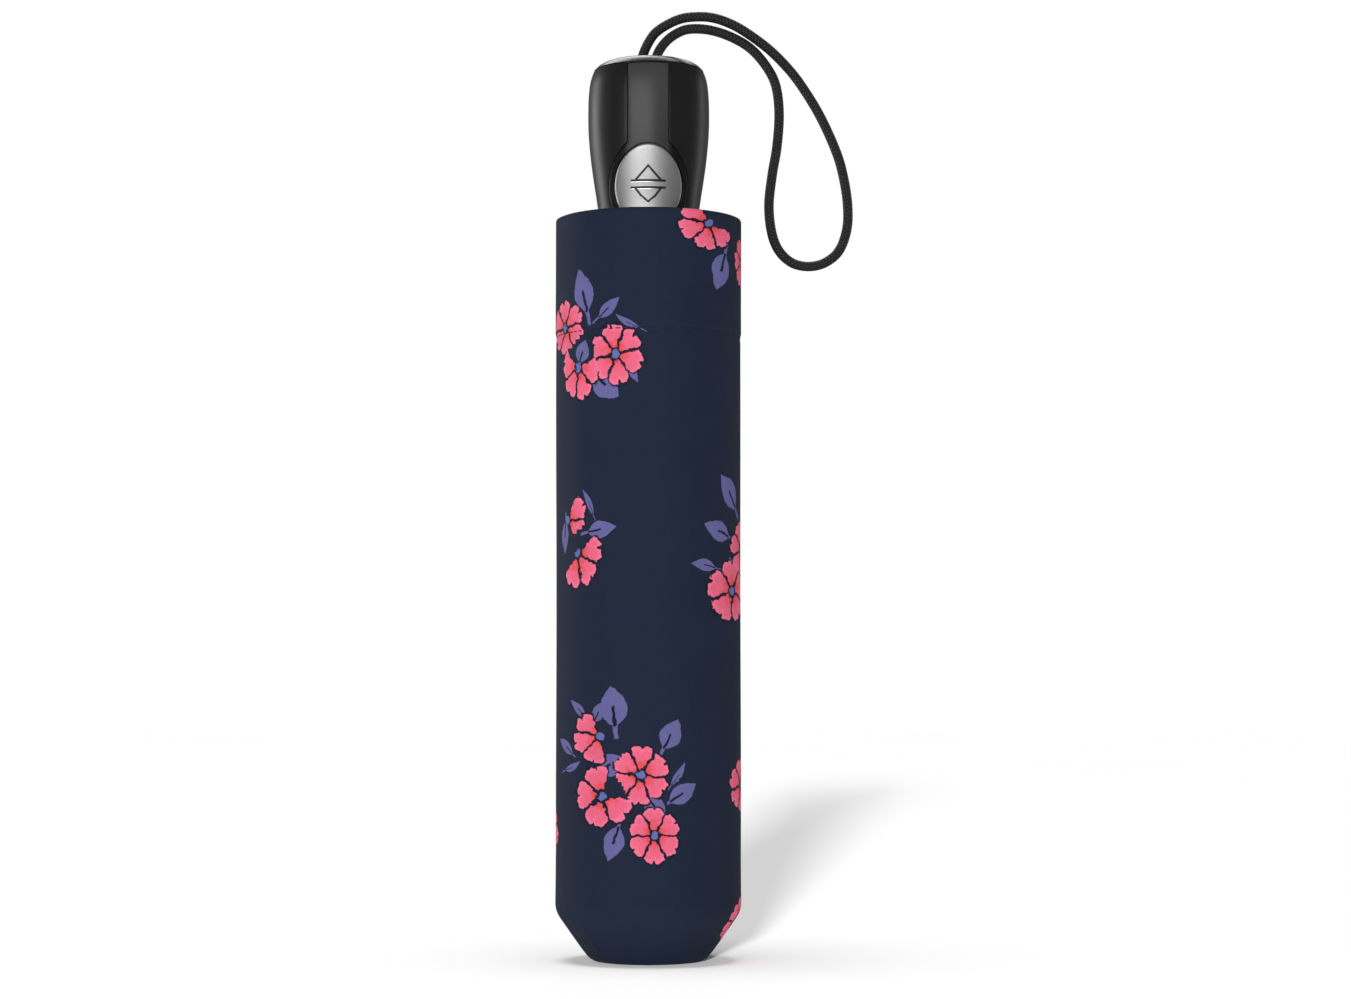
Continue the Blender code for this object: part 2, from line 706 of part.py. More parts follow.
def stretcher_mesh():
    joint_x, joint_z = joint_places()["stretcher"]
    eye_in = runner_eye_radius - EYE_HALF
    eye_out = runner_eye_radius + EYE_HALF
    tongue_in = joint_x - TONGUE_HALF
    tongue_out = joint_x + TONGUE_HALF
    tongue_end = joint_z - EYE_HALF
    bend_end = joint_z + 2 * TONGUE_HALF
    outline = [
        (tongue_in, tongue_end),
        (tongue_out, tongue_end),
        (tongue_out, bend_end),
        (stretcher_out, bend_end + 2 * BEND_LENGTH),
        (stretcher_out, runner_z - EYE_HALF),
        (eye_out, runner_z),
        (eye_out, runner_eye_z + EYE_HALF),
        (eye_in, runner_eye_z + EYE_HALF),
        (eye_in, runner_z),
        (stretcher_in, runner_z - EYE_HALF),
        (stretcher_in, bend_end + BEND_LENGTH),
    ]
    bar = extruded(outline, "Y", -half_tongue, half_tongue)
    wire_hole = pin_hole_at(runner_eye_radius, runner_eye_z)
    return cut(bar, pin_hole_at(joint_x, joint_z), wire_hole)


def build_ribs():
    members = {
        "top_rib": (top_rib_mesh(), dark_steel),
        "middle_rib": (middle_rib_mesh(), dark_steel),
        "end_rib": (end_rib_mesh(), bright_steel),
        "stretcher": (stretcher_mesh(), dark_steel),
    }
    for name, (mesh, material) in members.items():
        shared = lowered(mesh, frame_unit)
        for k in range(RIB_COUNT):
            place(f"{name}_{k + 1}", shared, material, frame_unit, rib_angle(k))


# ---------------------------------------------------------------- canopy and strap

def build_canopy():
    hem_inner = tip_cap_radius + TOUCH_GAP
    low_z = tip_z + CANOPY_FOOT_RISE
    cone_low = foot_radius - CANOPY_FOOT_EASE
    cone_z = CHAMFER_HEIGHT + CANOPY_SHOULDER_EASE
    inner_cone_z = low_joint_z - CANOPY_CONE_DROP
    profile = [
        (hem_inner, low_z),
        (cone_low, low_z),
        (canopy_radius, cone_z),
        (canopy_radius, canopy_top_z),
        (canopy_bore, canopy_top_z),
        (canopy_bore, inner_cone_z),
        (hem_inner, crown_z + CANOPY_SHOULDER_EASE),
    ]
    place("canopy", lowered(turned(profile, FINE), frame_unit), navy_cloth, frame_unit)


def build_strap():
    strap_in = canopy_radius + TOUCH_GAP
    strap_out = strap_in + STRAP_THICKNESS
    high = rim_z - STRAP_DROP
    low = high - STRAP_WIDTH
    profile = [(strap_out, high), (strap_out, low), (strap_in, low), (strap_in, high)]
    place("tie_strap", lowered(turned(profile, FINE), frame_unit), navy_cloth, frame_unit)

    snap_in = strap_out + TOUCH_GAP
    snap = round_bar(SNAP_RADIUS, snap_in, snap_in + SNAP_THICKNESS, "Y", (0.0, (low + high) / 2))
    place("strap_snap", lowered(snap, frame_unit), satin_black, frame_unit)


# ---------------------------------------------------------------- handle

def handle_line():
    """(radius, height) up the handle's side, bottom first."""
    return [(radius, rim_z + height) for height, radius in HANDLE_OUTLINE]


def handle_form():
    """The handle's solid form."""
    line = handle_line()
    return turned([(0.0, line[0][1]), *line, (0.0, line[-1][1])], FINE)


def offset_form(offset):
    """The handle's form with its side moved out by offset and its ends run past the handle's own."""
    line = [(radius + offset, height) for radius, height in handle_line()]
    low = line[0][1] - FORM_OVERRUN
    high = line[-1][1] + FORM_OVERRUN
    return turned([(0.0, low), (line[0][0], low), *line, (line[-1][0], high), (0.0, high)], FINE)


def front_prism(outline):
    """A prism through the handle's front wall, for everything that is let into that side."""
    return extruded(outline, "Y", -2 * HANDLE_BORE, -FRONT_PRISM_END)


def button_z():
    return rim_z + BUTTON_HEIGHT


def button_outline(grow):
    """The button's oval outline, grown by a gap."""
    return ellipse(BUTTON_HALF_WIDTH + grow, BUTTON_HALF_HEIGHT + grow, (0.0, button_z()))


def panel_outline(grow, top):
    """The strip and the ring around the button as one keyhole outline, grown by a gap."""
    half_strip = PANEL_STRIP_HALF + grow
    half_width = BUTTON_HALF_WIDTH + PANEL_RING_SIDE + grow
    half_height = BUTTON_HALF_HEIGHT + PANEL_RING_CROWN + grow
    meet = math.acos(half_strip / half_width)
    ring = arc(half_width, half_height, (0.0, button_z()), MEDIUM + 1, math.pi - meet, math.pi + 2 * meet)
    return [*ring, (half_strip, top), (-half_strip, top)]


def build_handle():
    line = handle_line()
    low = line[0][1]
    high = line[-1][1]
    ring_hole = button_outline(TOUCH_GAP)
    well = button_outline(BUTTON_RIM + TOUCH_GAP)

    panel_top = high + CUT_OVERRUN
    groove = front_prism(panel_outline(TOUCH_GAP / 2, panel_top))
    recess = cut(groove, offset_form(-PANEL_THICKNESS - TOUCH_GAP))
    bore = round_bar(HANDLE_BORE, low - CUT_OVERRUN, high + CUT_OVERRUN, "Z", (0.0, 0.0), FINE)
    body = cut(handle_form(), bore, recess, front_prism(well))
    place("handle_body", lowered(body, handle_unit), satin_black, handle_unit)

    panel = common(front_prism(panel_outline(-TOUCH_GAP / 2, panel_top)), handle_form())
    panel = cut(panel, offset_form(-PANEL_THICKNESS), front_prism(ring_hole))
    place("front_panel", lowered(panel, handle_unit), gloss_black, handle_unit)


def build_cap():
    seat_radius, seat_z = handle_line()[-1]
    top_z = rim_z + CAP_TOP
    edge = [(radius, rim_z + height) for radius, height in CAP_OUTLINE]
    skirt_out = HANDLE_BORE - TOUCH_GAP
    skirt_low = seat_z - CAP_SKIRT_DEPTH
    profile = [
        (0.0, top_z),
        *reversed(edge),
        (seat_radius - CAP_EDGE_INSET, seat_z + TOUCH_GAP),
        (skirt_out, seat_z + TOUCH_GAP),
        (skirt_out, skirt_low),
        (skirt_out - CAP_WALL, skirt_low),
        (skirt_out - CAP_WALL, seat_z - CAP_FLOOR),
        (0.0, seat_z - CAP_FLOOR),
    ]
    hole = stadium(EYELET_HALF_LENGTH + TOUCH_GAP, EYELET_HALF_WIDTH + TOUCH_GAP)
    cutter = extruded(hole, "Z", skirt_low - CUT_OVERRUN, top_z + CUT_OVERRUN)
    place("end_cap", lowered(cut(turned(profile, FINE), cutter), handle_unit), gloss_black, handle_unit)


def stadium(half_length, half_width):
    """An outline with round ends, long along X."""
    straight = half_length - half_width
    right = arc(half_width, half_width, (straight, 0.0), TINY, -math.pi / 2, math.pi)
    left = arc(half_width, half_width, (-straight, 0.0), TINY, math.pi / 2, math.pi)
    return right + left


def build_eyelet():
    top_z = rim_z + CAP_TOP
    outline = stadium(EYELET_HALF_LENGTH, EYELET_HALF_WIDTH)
    block = extruded(outline, "Z", top_z - EYELET_DEPTH, top_z + EYELET_STAND)
    pits = []
    for side in (-1, 1):
        centre = (side * CORD_STRAND_OFFSET, 0.0)
        floor = top_z + CORD_ROUTE[0][2] - TOUCH_GAP
        pits.append(round_bar(CORD_DIAMETER / 2 + EYELET_PIT_EASE, floor, top_z + CUT_OVERRUN, "Z", centre))
    place("cord_eyelet", lowered(cut(block, *pits), handle_unit), satin_black, handle_unit)


def build_cord():
    exit_point = Vector((0.0, 0.0, rim_z + CAP_TOP - world_height(handle_unit)))
    line = spaced(curve_through(CORD_ROUTE, CORD_STEPS), CORD_POINT_SPACING)
    curve = bpy.data.curves.new("wrist_cord", "CURVE")
    curve.dimensions = "3D"
    curve.bevel_depth = CORD_DIAMETER / 2
    curve.bevel_resolution = 2
    curve.use_fill_caps = True
    spline = curve.splines.new("POLY")
    spline.points.add(len(line) - 1)
    for point, place_on_route in zip(spline.points, line):
        point.co = (*(place_on_route + exit_point), 1.0)
    curve.materials.append(cord_black)
    cord = bpy.data.objects.new("wrist_cord", curve)
    bpy.context.scene.collection.objects.link(cord)
    cord.parent = handle_unit


def build_housing():
    low = rim_z + HOUSING_LOW
    high = rim_z + HOUSING_HIGH
    flange = HANDLE_BORE - TOUCH_GAP
    profile = [
        (housing_bore, high),
        (flange, high),
        (flange, high - FLANGE_HEIGHT),
        (housing_radius, high - FLANGE_HEIGHT),
        (housing_radius, low + FLANGE_HEIGHT),
        (flange, low + FLANGE_HEIGHT),
        (flange, low),
        (housing_bore, low),
    ]
    catch_z = button_z() + CATCH_PIN_RISE
    catch_hole = round_bar(CATCH_PIN_RADIUS + TOUCH_GAP, -HANDLE_BORE, 0.0, "Y", (0.0, catch_z))
    housing = cut(turned(profile, MEDIUM), tube_pin_hole(), catch_hole)
    place("mechanism_housing", lowered(housing, handle_unit), grey_plastic, handle_unit)


# ---------------------------------------------------------------- button

def surface_radius(height):
    line = handle_line()
    for (r_low, z_low), (r_high, z_high) in zip(line, line[1:]):
        if z_low <= height <= z_high:
            return r_low + (r_high - r_low) * (height - z_low) / (z_high - z_low)
    return line[-1][0]


def build_button():
    height = button_z()
    rim_depth = PANEL_THICKNESS + 2 * TOUCH_GAP
    face_solid = common(front_prism(button_outline(0.0)), offset_form(BUTTON_PROUD))
    rim_solid = common(front_prism(button_outline(BUTTON_RIM)), offset_form(-rim_depth))
    back = offset_form(-rim_depth - BUTTON_THICKNESS)
    back_y = -(surface_radius(height) - rim_depth - BUTTON_THICKNESS)
    cup_end = back_y + CUP_WALL
    cup_low = height - BUTTON_HALF_HEIGHT * CUP_DROP_SHARE
    cup = round_bar(CUP_RADIUS, back_y - CUP_ROOT, cup_end, "Y", (0.0, cup_low), COARSE)
    pocket_radius = CUP_RADIUS - CUP_WALL
    pocket = round_bar(pocket_radius, back_y, cup_end + CUT_OVERRUN, "Y", (0.0, cup_low), COARSE)
    shell = cut(joined(face_solid, rim_solid), back)
    button = cut(joined(shell, cup), pocket)
    place("push_button", lowered(button, button_unit), silver_button, button_unit)

    seat_y = -housing_radius - TOUCH_GAP
    length = seat_y - (back_y + BUTTON_TRAVEL) - TOUCH_GAP
    spring = coil(pocket_radius - BUTTON_SPRING_EASE, BUTTON_SPRING_WIRE, length, BUTTON_SPRING_TURNS)
    spring.transform(Matrix.Translation((0.0, seat_y, cup_low)) @ Matrix.Rotation(math.pi / 2, 4, "X"))
    place("button_spring", lowered(spring, handle_unit), steel_wire, handle_unit)

    catch_z = height + CATCH_PIN_RISE
    catch_back = -(surface_radius(catch_z) - rim_depth - BUTTON_THICKNESS) + 2 * TOUCH_GAP
    catch_end = -(outer_tube_radius + BUTTON_TRAVEL + TOUCH_GAP)
    catch = round_bar(CATCH_PIN_RADIUS, catch_back, catch_end, "Y", (0.0, catch_z))
    place("catch_pin", lowered(catch, button_unit), steel_wire, button_unit)


# ---------------------------------------------------------------- the umbrella

clear_scene()

navy_print = make_material("navy_print", (0.020, 0.027, 0.052), 0.75)
navy_cloth = make_material("navy_cloth", (0.020, 0.027, 0.052), 0.75)
satin_black = make_material("satin_black", (0.014, 0.014, 0.014), 0.38)
gloss_black = make_material("gloss_black", (0.020, 0.020, 0.020), 0.22)
grey_plastic = make_material("grey_plastic", (0.10, 0.10, 0.105), 0.5)
silver_button = make_material("silver_button", (0.55, 0.55, 0.56), 0.32, 1.0)
bright_steel = make_material("bright_steel", (0.62, 0.62, 0.64), 0.25, 1.0)
dark_steel = make_material("dark_steel", (0.05, 0.05, 0.055), 0.4, 0.6)
steel_wire = make_material("steel_wire", (0.45, 0.45, 0.47), 0.35, 1.0)
cord_black = make_material("cord_black", (0.012, 0.012, 0.012), 0.7)

frame_unit = make_empty("frame_unit", tip_z)
middle_unit = make_empty("middle_unit", crown_z, frame_unit)
handle_unit = make_empty("handle_unit", rim_z)
button_unit = make_empty("button_unit", button_z())

build_sleeve()
build_tip_cap()
build_crown()
build_runner()
build_shaft()
build_ribs()
build_canopy()
build_strap()
build_handle()
build_cap()
build_eyelet()
build_cord()
build_housing()
build_button()
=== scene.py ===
"""Finished look of a compact folding umbrella: printed cloth, moulded handle, brushed button, braided cord.

Metres, +Z up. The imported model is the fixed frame, and every piece rides on one of its bodies.
The push button faces -Y. Angles round the umbrella start at the front and grow towards +X.
"""
import math

import bmesh
import bpy
import numpy as np
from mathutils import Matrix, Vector
from mathutils.geometry import delaunay_2d_cdt


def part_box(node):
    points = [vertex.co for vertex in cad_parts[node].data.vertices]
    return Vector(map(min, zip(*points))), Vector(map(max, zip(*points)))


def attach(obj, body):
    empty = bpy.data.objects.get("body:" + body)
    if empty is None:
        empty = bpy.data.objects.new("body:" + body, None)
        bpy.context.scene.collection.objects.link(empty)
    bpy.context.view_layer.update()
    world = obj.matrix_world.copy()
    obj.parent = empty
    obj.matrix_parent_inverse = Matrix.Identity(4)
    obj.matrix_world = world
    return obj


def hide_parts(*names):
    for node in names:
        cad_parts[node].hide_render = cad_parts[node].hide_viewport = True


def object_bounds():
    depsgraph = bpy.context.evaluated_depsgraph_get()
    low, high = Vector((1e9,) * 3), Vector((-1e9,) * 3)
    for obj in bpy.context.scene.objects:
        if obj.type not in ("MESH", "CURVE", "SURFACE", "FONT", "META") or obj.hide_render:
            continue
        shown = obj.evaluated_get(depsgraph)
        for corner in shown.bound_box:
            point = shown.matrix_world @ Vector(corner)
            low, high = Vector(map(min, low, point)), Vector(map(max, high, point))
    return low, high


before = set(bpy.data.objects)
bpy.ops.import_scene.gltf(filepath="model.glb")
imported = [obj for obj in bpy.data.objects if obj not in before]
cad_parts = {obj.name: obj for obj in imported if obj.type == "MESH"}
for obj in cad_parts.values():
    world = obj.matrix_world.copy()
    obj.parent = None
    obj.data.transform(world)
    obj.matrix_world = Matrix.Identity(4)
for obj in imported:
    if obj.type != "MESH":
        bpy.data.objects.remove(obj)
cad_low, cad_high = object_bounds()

MM = 0.001

# ---------------------------------------------------------------- places read from the frame

sleeve_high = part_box("sleeve")[1]
canopy_low, canopy_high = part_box("canopy")
strap_low, strap_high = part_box("tie_strap")

SLEEVE_RADIUS = sleeve_high[0]
RIM_Z = sleeve_high[2]
CIRCUMFERENCE = 2 * math.pi * SLEEVE_RADIUS
CAP_RISE = 50.5 * MM
CAP_TOP = Vector((0.0, 0.0, RIM_Z + CAP_RISE))

# ---------------------------------------------------------------- camera

CAMERA_PLACE = (0.0083, -0.8998, 0.0807)
CAMERA_PITCH = math.radians(3.04)
CAMERA_LENS = 78.1
CAMERA_SHIFT = 0.03

camera_data = bpy.data.cameras.new("camera")
camera_data.lens = CAMERA_LENS
camera_data.sensor_width = 36.0
camera_data.shift_y = CAMERA_SHIFT
camera = bpy.data.objects.new("camera", camera_data)
camera.location = CAMERA_PLACE
camera.rotation_euler = (math.pi / 2 + CAMERA_PITCH, 0.0, 0.0)
bpy.context.scene.collection.objects.link(camera)
bpy.context.scene.camera = camera


# ---------------------------------------------------------------- mesh helpers

def add_mesh(name, mesh, smooth_degrees=40):
    mesh.shade_smooth()
    mesh.set_sharp_from_angle(angle=math.radians(smooth_degrees))
    piece = bpy.data.objects.new(name, mesh)
    bpy.context.scene.collection.objects.link(piece)
    return piece


def paint(piece, finish):
    piece.data.materials.clear()
    piece.data.materials.append(finish)


def smoothstep(values, low, high):
    share = np.clip((np.asarray(values, float) - low) / (high - low), 0.0, 1.0)
    return share * share * (3 - 2 * share)


def curve_through(points, steps):
    """Catmull-Rom points through the given points, with the given steps between neighbours."""
    vectors = [Vector(p) for p in points]
    padded = [2 * vectors[0] - vectors[1], *vectors, 2 * vectors[-1] - vectors[-2]]
    line = []
    for a, b, c, d in zip(padded, padded[1:], padded[2:], padded[3:]):
        for k in range(steps):
            t = k / steps
            bend = (2 * a - 5 * b + 4 * c - d) * t * t + (3 * b - a - 3 * c + d) * t ** 3
            line.append(0.5 * (2 * b + (c - a) * t + bend))
    line.append(vectors[-1])
    return line


def spaced(line, spacing):
    """Points at equal distances along a dense line, both ends kept."""
    points = np.array([tuple(p) for p in line])
    lengths = np.concatenate([[0.0], np.cumsum(np.linalg.norm(np.diff(points, axis=0), axis=1))])
    wanted = np.linspace(0.0, lengths[-1], max(2, round(lengths[-1] / spacing)) + 1)
    return np.stack([np.interp(wanted, lengths, points[:, k]) for k in range(points.shape[1])], axis=1)


# ---------------------------------------------------------------- node helpers

def wired(tree, kind, inputs, **settings):
    """A node whose inputs are given by name or place, each as a socket or a value."""
    node = tree.nodes.new(kind)
    for key, value in settings.items():
        setattr(node, key, value)
    for key, value in inputs.items():
        if isinstance(value, bpy.types.NodeSocket):
            tree.links.new(value, node.inputs[key])
        else:
            node.inputs[key].default_value = value
    return node


class Finish:
    """A material's node tree, built call by call. Numbers that never vary go to the shader's own sockets."""

    def __init__(self, name, roughness, metallic=0.0, **constants):
        self.material = bpy.data.materials.new(name)
        self.material.use_nodes = True
        self.tree = self.material.node_tree
        self.shader = self.tree.nodes["Principled BSDF"]
        self.shader.inputs["Roughness"].default_value = roughness
        self.shader.inputs["Metallic"].default_value = metallic
        for socket, value in constants.items():
            self.shader.inputs[socket.replace("_", " ")].default_value = value

    def add(self, kind, **settings):
        node = self.tree.nodes.new(kind)
        for key, value in settings.items():
            setattr(node, key, value)
        return node

    def plug(self, value, socket):
        if isinstance(value, bpy.types.NodeSocket):
            self.tree.links.new(value, socket)
        elif isinstance(value, tuple):
            socket.default_value = (*value, 1.0) if len(socket.default_value) == 4 else value
        else:
            socket.default_value = value

    def math(self, operation, *values):
        node = self.add("ShaderNodeMath", operation=operation)
        for socket, value in zip(node.inputs, values):
            self.plug(value, socket)
        return node.outputs[0]

    def times(self, first, second):
        return self.math("MULTIPLY", first, second)

    def plus(self, first, second):
        return self.math("ADD", first, second)

    def minus(self, first, second):
        return self.math("SUBTRACT", first, second)

    def step(self, value, low, high):
        """Rises smoothly from 0 at low to 1 at high, or falls where low is the greater."""
        node = self.add("ShaderNodeMapRange", interpolation_type="SMOOTHSTEP")
        self.plug(value, node.inputs["Value"])
        node.inputs["From Min"].default_value = low
        node.inputs["From Max"].default_value = high
        return node.outputs["Result"]

    def scaled(self, value, low, high):
        """Maps 0..1 to low..high."""
        node = self.add("ShaderNodeMapRange")
        self.plug(value, node.inputs["Value"])
        node.inputs["To Min"].default_value = low
        node.inputs["To Max"].default_value = high
        return node.outputs["Result"]

    def mix(self, share, first, second):
        node = self.add("ShaderNodeMix", data_type="RGBA")
        self.plug(share, node.inputs[0])
        self.plug(first, node.inputs[6])
        self.plug(second, node.inputs[7])
        return node.outputs[2]

    def plain(self, colour):
        """One colour, as a socket that other nodes can take."""
        return self.mix(0.0, colour, colour)

    def tone(self, colour, amount):
        """Multiplies a colour by a grey amount."""
        node = self.add("ShaderNodeVectorMath", operation="SCALE")
        self.plug(colour, node.inputs[0])
        self.plug(amount, node.inputs["Scale"])
        return node.outputs[0]

    def place(self):
        return self.add("ShaderNodeTexCoord").outputs["Object"]

    def stretched(self, vector, scale):
        node = self.add("ShaderNodeMapping")
        self.plug(vector, node.inputs["Vector"])
        node.inputs["Scale"].default_value = scale
        return node.outputs["Vector"]

    def noise(self, scale, detail=2.0, vector=None):
        node = self.add("ShaderNodeTexNoise")
        self.plug(vector or self.place(), node.inputs["Vector"])
        node.inputs["Scale"].default_value = scale
        node.inputs["Detail"].default_value = detail
        return node.outputs["Fac"]

    def uv(self, name):
        """The two coordinates of a named UV map."""
        split = self.add("ShaderNodeSeparateXYZ")
        self.plug(self.add("ShaderNodeUVMap", uv_map=name).outputs["UV"], split.inputs[0])
        return split.outputs["X"], split.outputs["Y"]

    def value_of(self, name):
        return self.add("ShaderNodeAttribute", attribute_name=name).outputs["Fac"]

    def bump(self, height, distance, strength=1.0):
        node = self.add("ShaderNodeBump")
        node.inputs["Strength"].default_value = strength
        node.inputs["Distance"].default_value = distance
        self.plug(height, node.inputs["Height"])
        self.plug(node.outputs["Normal"], self.shader.inputs["Normal"])

    def colour(self, value):
        self.plug(value, self.shader.inputs["Base Color"])

    def roughness(self, value):
        self.plug(value, self.shader.inputs["Roughness"])


# ---------------------------------------------------------------- wrist cord

CORD_DIAMETER = 3.0 * MM
CORD_SIDES = 20
CORD_SPACING = 0.7 * MM
CORD_ROUTE = [
    (-0.0022, 0.0, -0.0022), (-0.0022, 0.0, 0.0000), (-0.0014, 0.0, 0.0027), (-0.0001, -0.0002, 0.0054),
    (0.0020, -0.0003, 0.0084), (0.0055, -0.0004, 0.0109), (0.0101, -0.0005, 0.0129),
    (0.0150, -0.0005, 0.0135), (0.0196, -0.0005, 0.0132), (0.0245, -0.0004, 0.0117),
    (0.0296, -0.0003, 0.0090), (0.0366, -0.0002, 0.0039), (0.0421, 0.0, -0.0014),
    (0.0469, 0.0, -0.0074), (0.0529, 0.0, -0.0172), (0.0579, 0.0, -0.0283), (0.0602, 0.0, -0.0363),
    (0.0615, 0.0, -0.0450), (0.0613, 0.0, -0.0526), (0.0589, 0.0, -0.0594), (0.0545, 0.0, -0.0632),
    (0.0493, 0.0, -0.0644), (0.0442, 0.0, -0.0632), (0.0402, 0.0, -0.0594), (0.0380, 0.0, -0.0537),
    (0.0372, 0.0, -0.0454), (0.0382, 0.0, -0.0360), (0.0397, 0.0, -0.0271), (0.0404, 0.0, -0.0168),
    (0.0394, 0.0002, -0.0080), (0.0364, 0.0003, -0.0018), (0.0315, 0.0004, 0.0038),
    (0.0253, 0.0005, 0.0075), (0.0187, 0.0005, 0.0096), (0.0123, 0.0004, 0.0098),
    (0.0081, 0.0003, 0.0081), (0.0051, 0.0002, 0.0056), (0.0031, 0.0, 0.0027), (0.0022, 0.0, 0.0000),
    (0.0022, 0.0, -0.0022),
]


def tube_along(name, points, radius, sides):
    """A closed round tube with a UV map of (turns round, metres along)."""
    points = np.asarray(points, float)
    ahead = np.gradient(points, axis=0)
    ahead /= np.linalg.norm(ahead, axis=1)[:, None]
    side = np.array([0.0, 1.0, 0.0])
    vertices = []
    for point, forward in zip(points, ahead):
        side = side - forward * side.dot(forward)
        side /= np.linalg.norm(side)
        up = np.cross(forward, side)
        for k in range(sides):
            angle = 2 * math.pi * k / sides
            vertices.append(point + radius * (side * math.cos(angle) + up * math.sin(angle)))
    count = len(points)
    faces = []
    for row in range(count - 1):
        for k in range(sides):
            n = (k + 1) % sides
            faces.append((row * sides + k, (row + 1) * sides + k, (row + 1) * sides + n, row * sides + n))
    faces.append(tuple(range(sides)))
    faces.append(tuple(reversed(range((count - 1) * sides, count * sides))))
    mesh = bpy.data.meshes.new(name)
    mesh.from_pydata([tuple(v) for v in vertices], [], faces)
    along = np.concatenate([[0.0], np.cumsum(np.linalg.norm(np.diff(points, axis=0), axis=1))])
    layer = mesh.uv_layers.new(name="cloth")
    for polygon in mesh.polygons:
        columns = [mesh.loops[i].vertex_index % sides for i in polygon.loop_indices]
        wraps = max(columns) - min(columns) > 1 and len(columns) == 4
        for i, column in zip(polygon.loop_indices, columns):
            turn = (column + sides if wraps and column == 0 else column) / sides
            layer.data[i].uv = (turn, along[mesh.loops[i].vertex_index // sides])
    return add_mesh(name, mesh)


def build_cord():
    route = [Vector(p) + CAP_TOP for p in CORD_ROUTE]
    points = spaced(curve_through(route, 12), CORD_SPACING)
    cord = tube_along("wrist_cord_braid", points, CORD_DIAMETER / 2, CORD_SIDES)
    paint(cord, finishes["braided_cord"])
    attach(cord, "handle")
    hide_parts("wrist_cord")


# ---------------------------------------------------------------- finishes

NAVY = (0.0128, 0.0200, 0.0425)
NAVY_INK = (0.0085, 0.0110, 0.0260)
PETAL_PINK = (0.800, 0.130, 0.225)
PETAL_EDGE = (0.860, 0.180, 0.290)
PETAL_RED = (0.740, 0.072, 0.066)
LEAF_BLUE = (0.128, 0.122, 0.310)
FLOWER_EYE = (0.120, 0.150, 0.390)
BUTTON_SILVER = (0.50, 0.50, 0.50)
THREAD_PITCH = 0.34 * MM
PLAIT_PITCH = 1.15 * MM
PLAITS_ROUND = 8
PANEL_CHARCOAL = (0.040, 0.040, 0.040)
# The ring's own black tone, which also carries painted shade round the button.
RING_BLACK_AND_PAINTED_SHADE = (0.006, 0.006, 0.006)


def weave(finish):
    """Plain weave from the cloth's own coordinates in metres: 0 in the pits, 1 on the threads."""
    u, v = finish.uv("cloth")
    across = finish.math("SINE", finish.times(u, 2 * math.pi / THREAD_PITCH))
    along = finish.math("SINE", finish.times(v, 2 * math.pi / THREAD_PITCH))
    return finish.scaled(finish.times(across, along), 0.5, 1.0)


def cloth_surface(finish, ground):
    """Weave, slubs and soft mottling on a cloth colour."""
    threads = weave(finish)
    mottle = finish.noise(55.0, 3.0)
    slubs = finish.noise(1.0, 2.0, finish.stretched(finish.place(), (2200.0, 2200.0, 260.0)))
    shade = finish.times(finish.scaled(threads, 0.88, 1.06), finish.scaled(mottle, 0.86, 1.12))
    shade = finish.times(shade, finish.scaled(slubs, 0.90, 1.10))
    finish.colour(finish.tone(ground, shade))
    finish.roughness(finish.scaled(mottle, 0.62, 0.82))
    finish.bump(finish.plus(threads, finish.times(slubs, 0.6)), 0.05 * MM, 0.55)


def leaf_print(finish, ground, wobble):
    """Pointed leaves with a midrib and a stem. The leaf's tip is at x = 1 and its sides at y = -1 and 1."""
    x, y = finish.uv("leaves")
    x = finish.plus(x, finish.scaled(wobble, -0.07, 0.07))
    rise = finish.math("MAXIMUM", finish.minus(1.0, finish.times(x, x)), 0.0)
    bent = finish.plus(y, finish.times(finish.value_of("leaf_bend"), rise))
    bent = finish.plus(bent, finish.scaled(wobble, 0.16, -0.16))
    from_rib = finish.math("ABSOLUTE", bent)
    half = finish.times(rise, finish.minus(1.0, finish.times(x, 0.28)))
    blade = finish.step(finish.minus(half, from_rib), 0.0, 0.07)
    rib_end = finish.minus(0.05, x)
    rib = finish.times(finish.step(from_rib, 0.15, 0.07), finish.step(rib_end, 0.0, 0.1))
    stem = finish.times(finish.step(from_rib, 0.20, 0.10), finish.step(x, -1.62, -1.50))
    stem = finish.times(stem, finish.step(x, -0.80, -0.92))
    inked = finish.mix(finish.math("MAXIMUM", blade, stem), ground, LEAF_BLUE)
    return finish.mix(finish.times(rib, blade), inked, NAVY_INK)


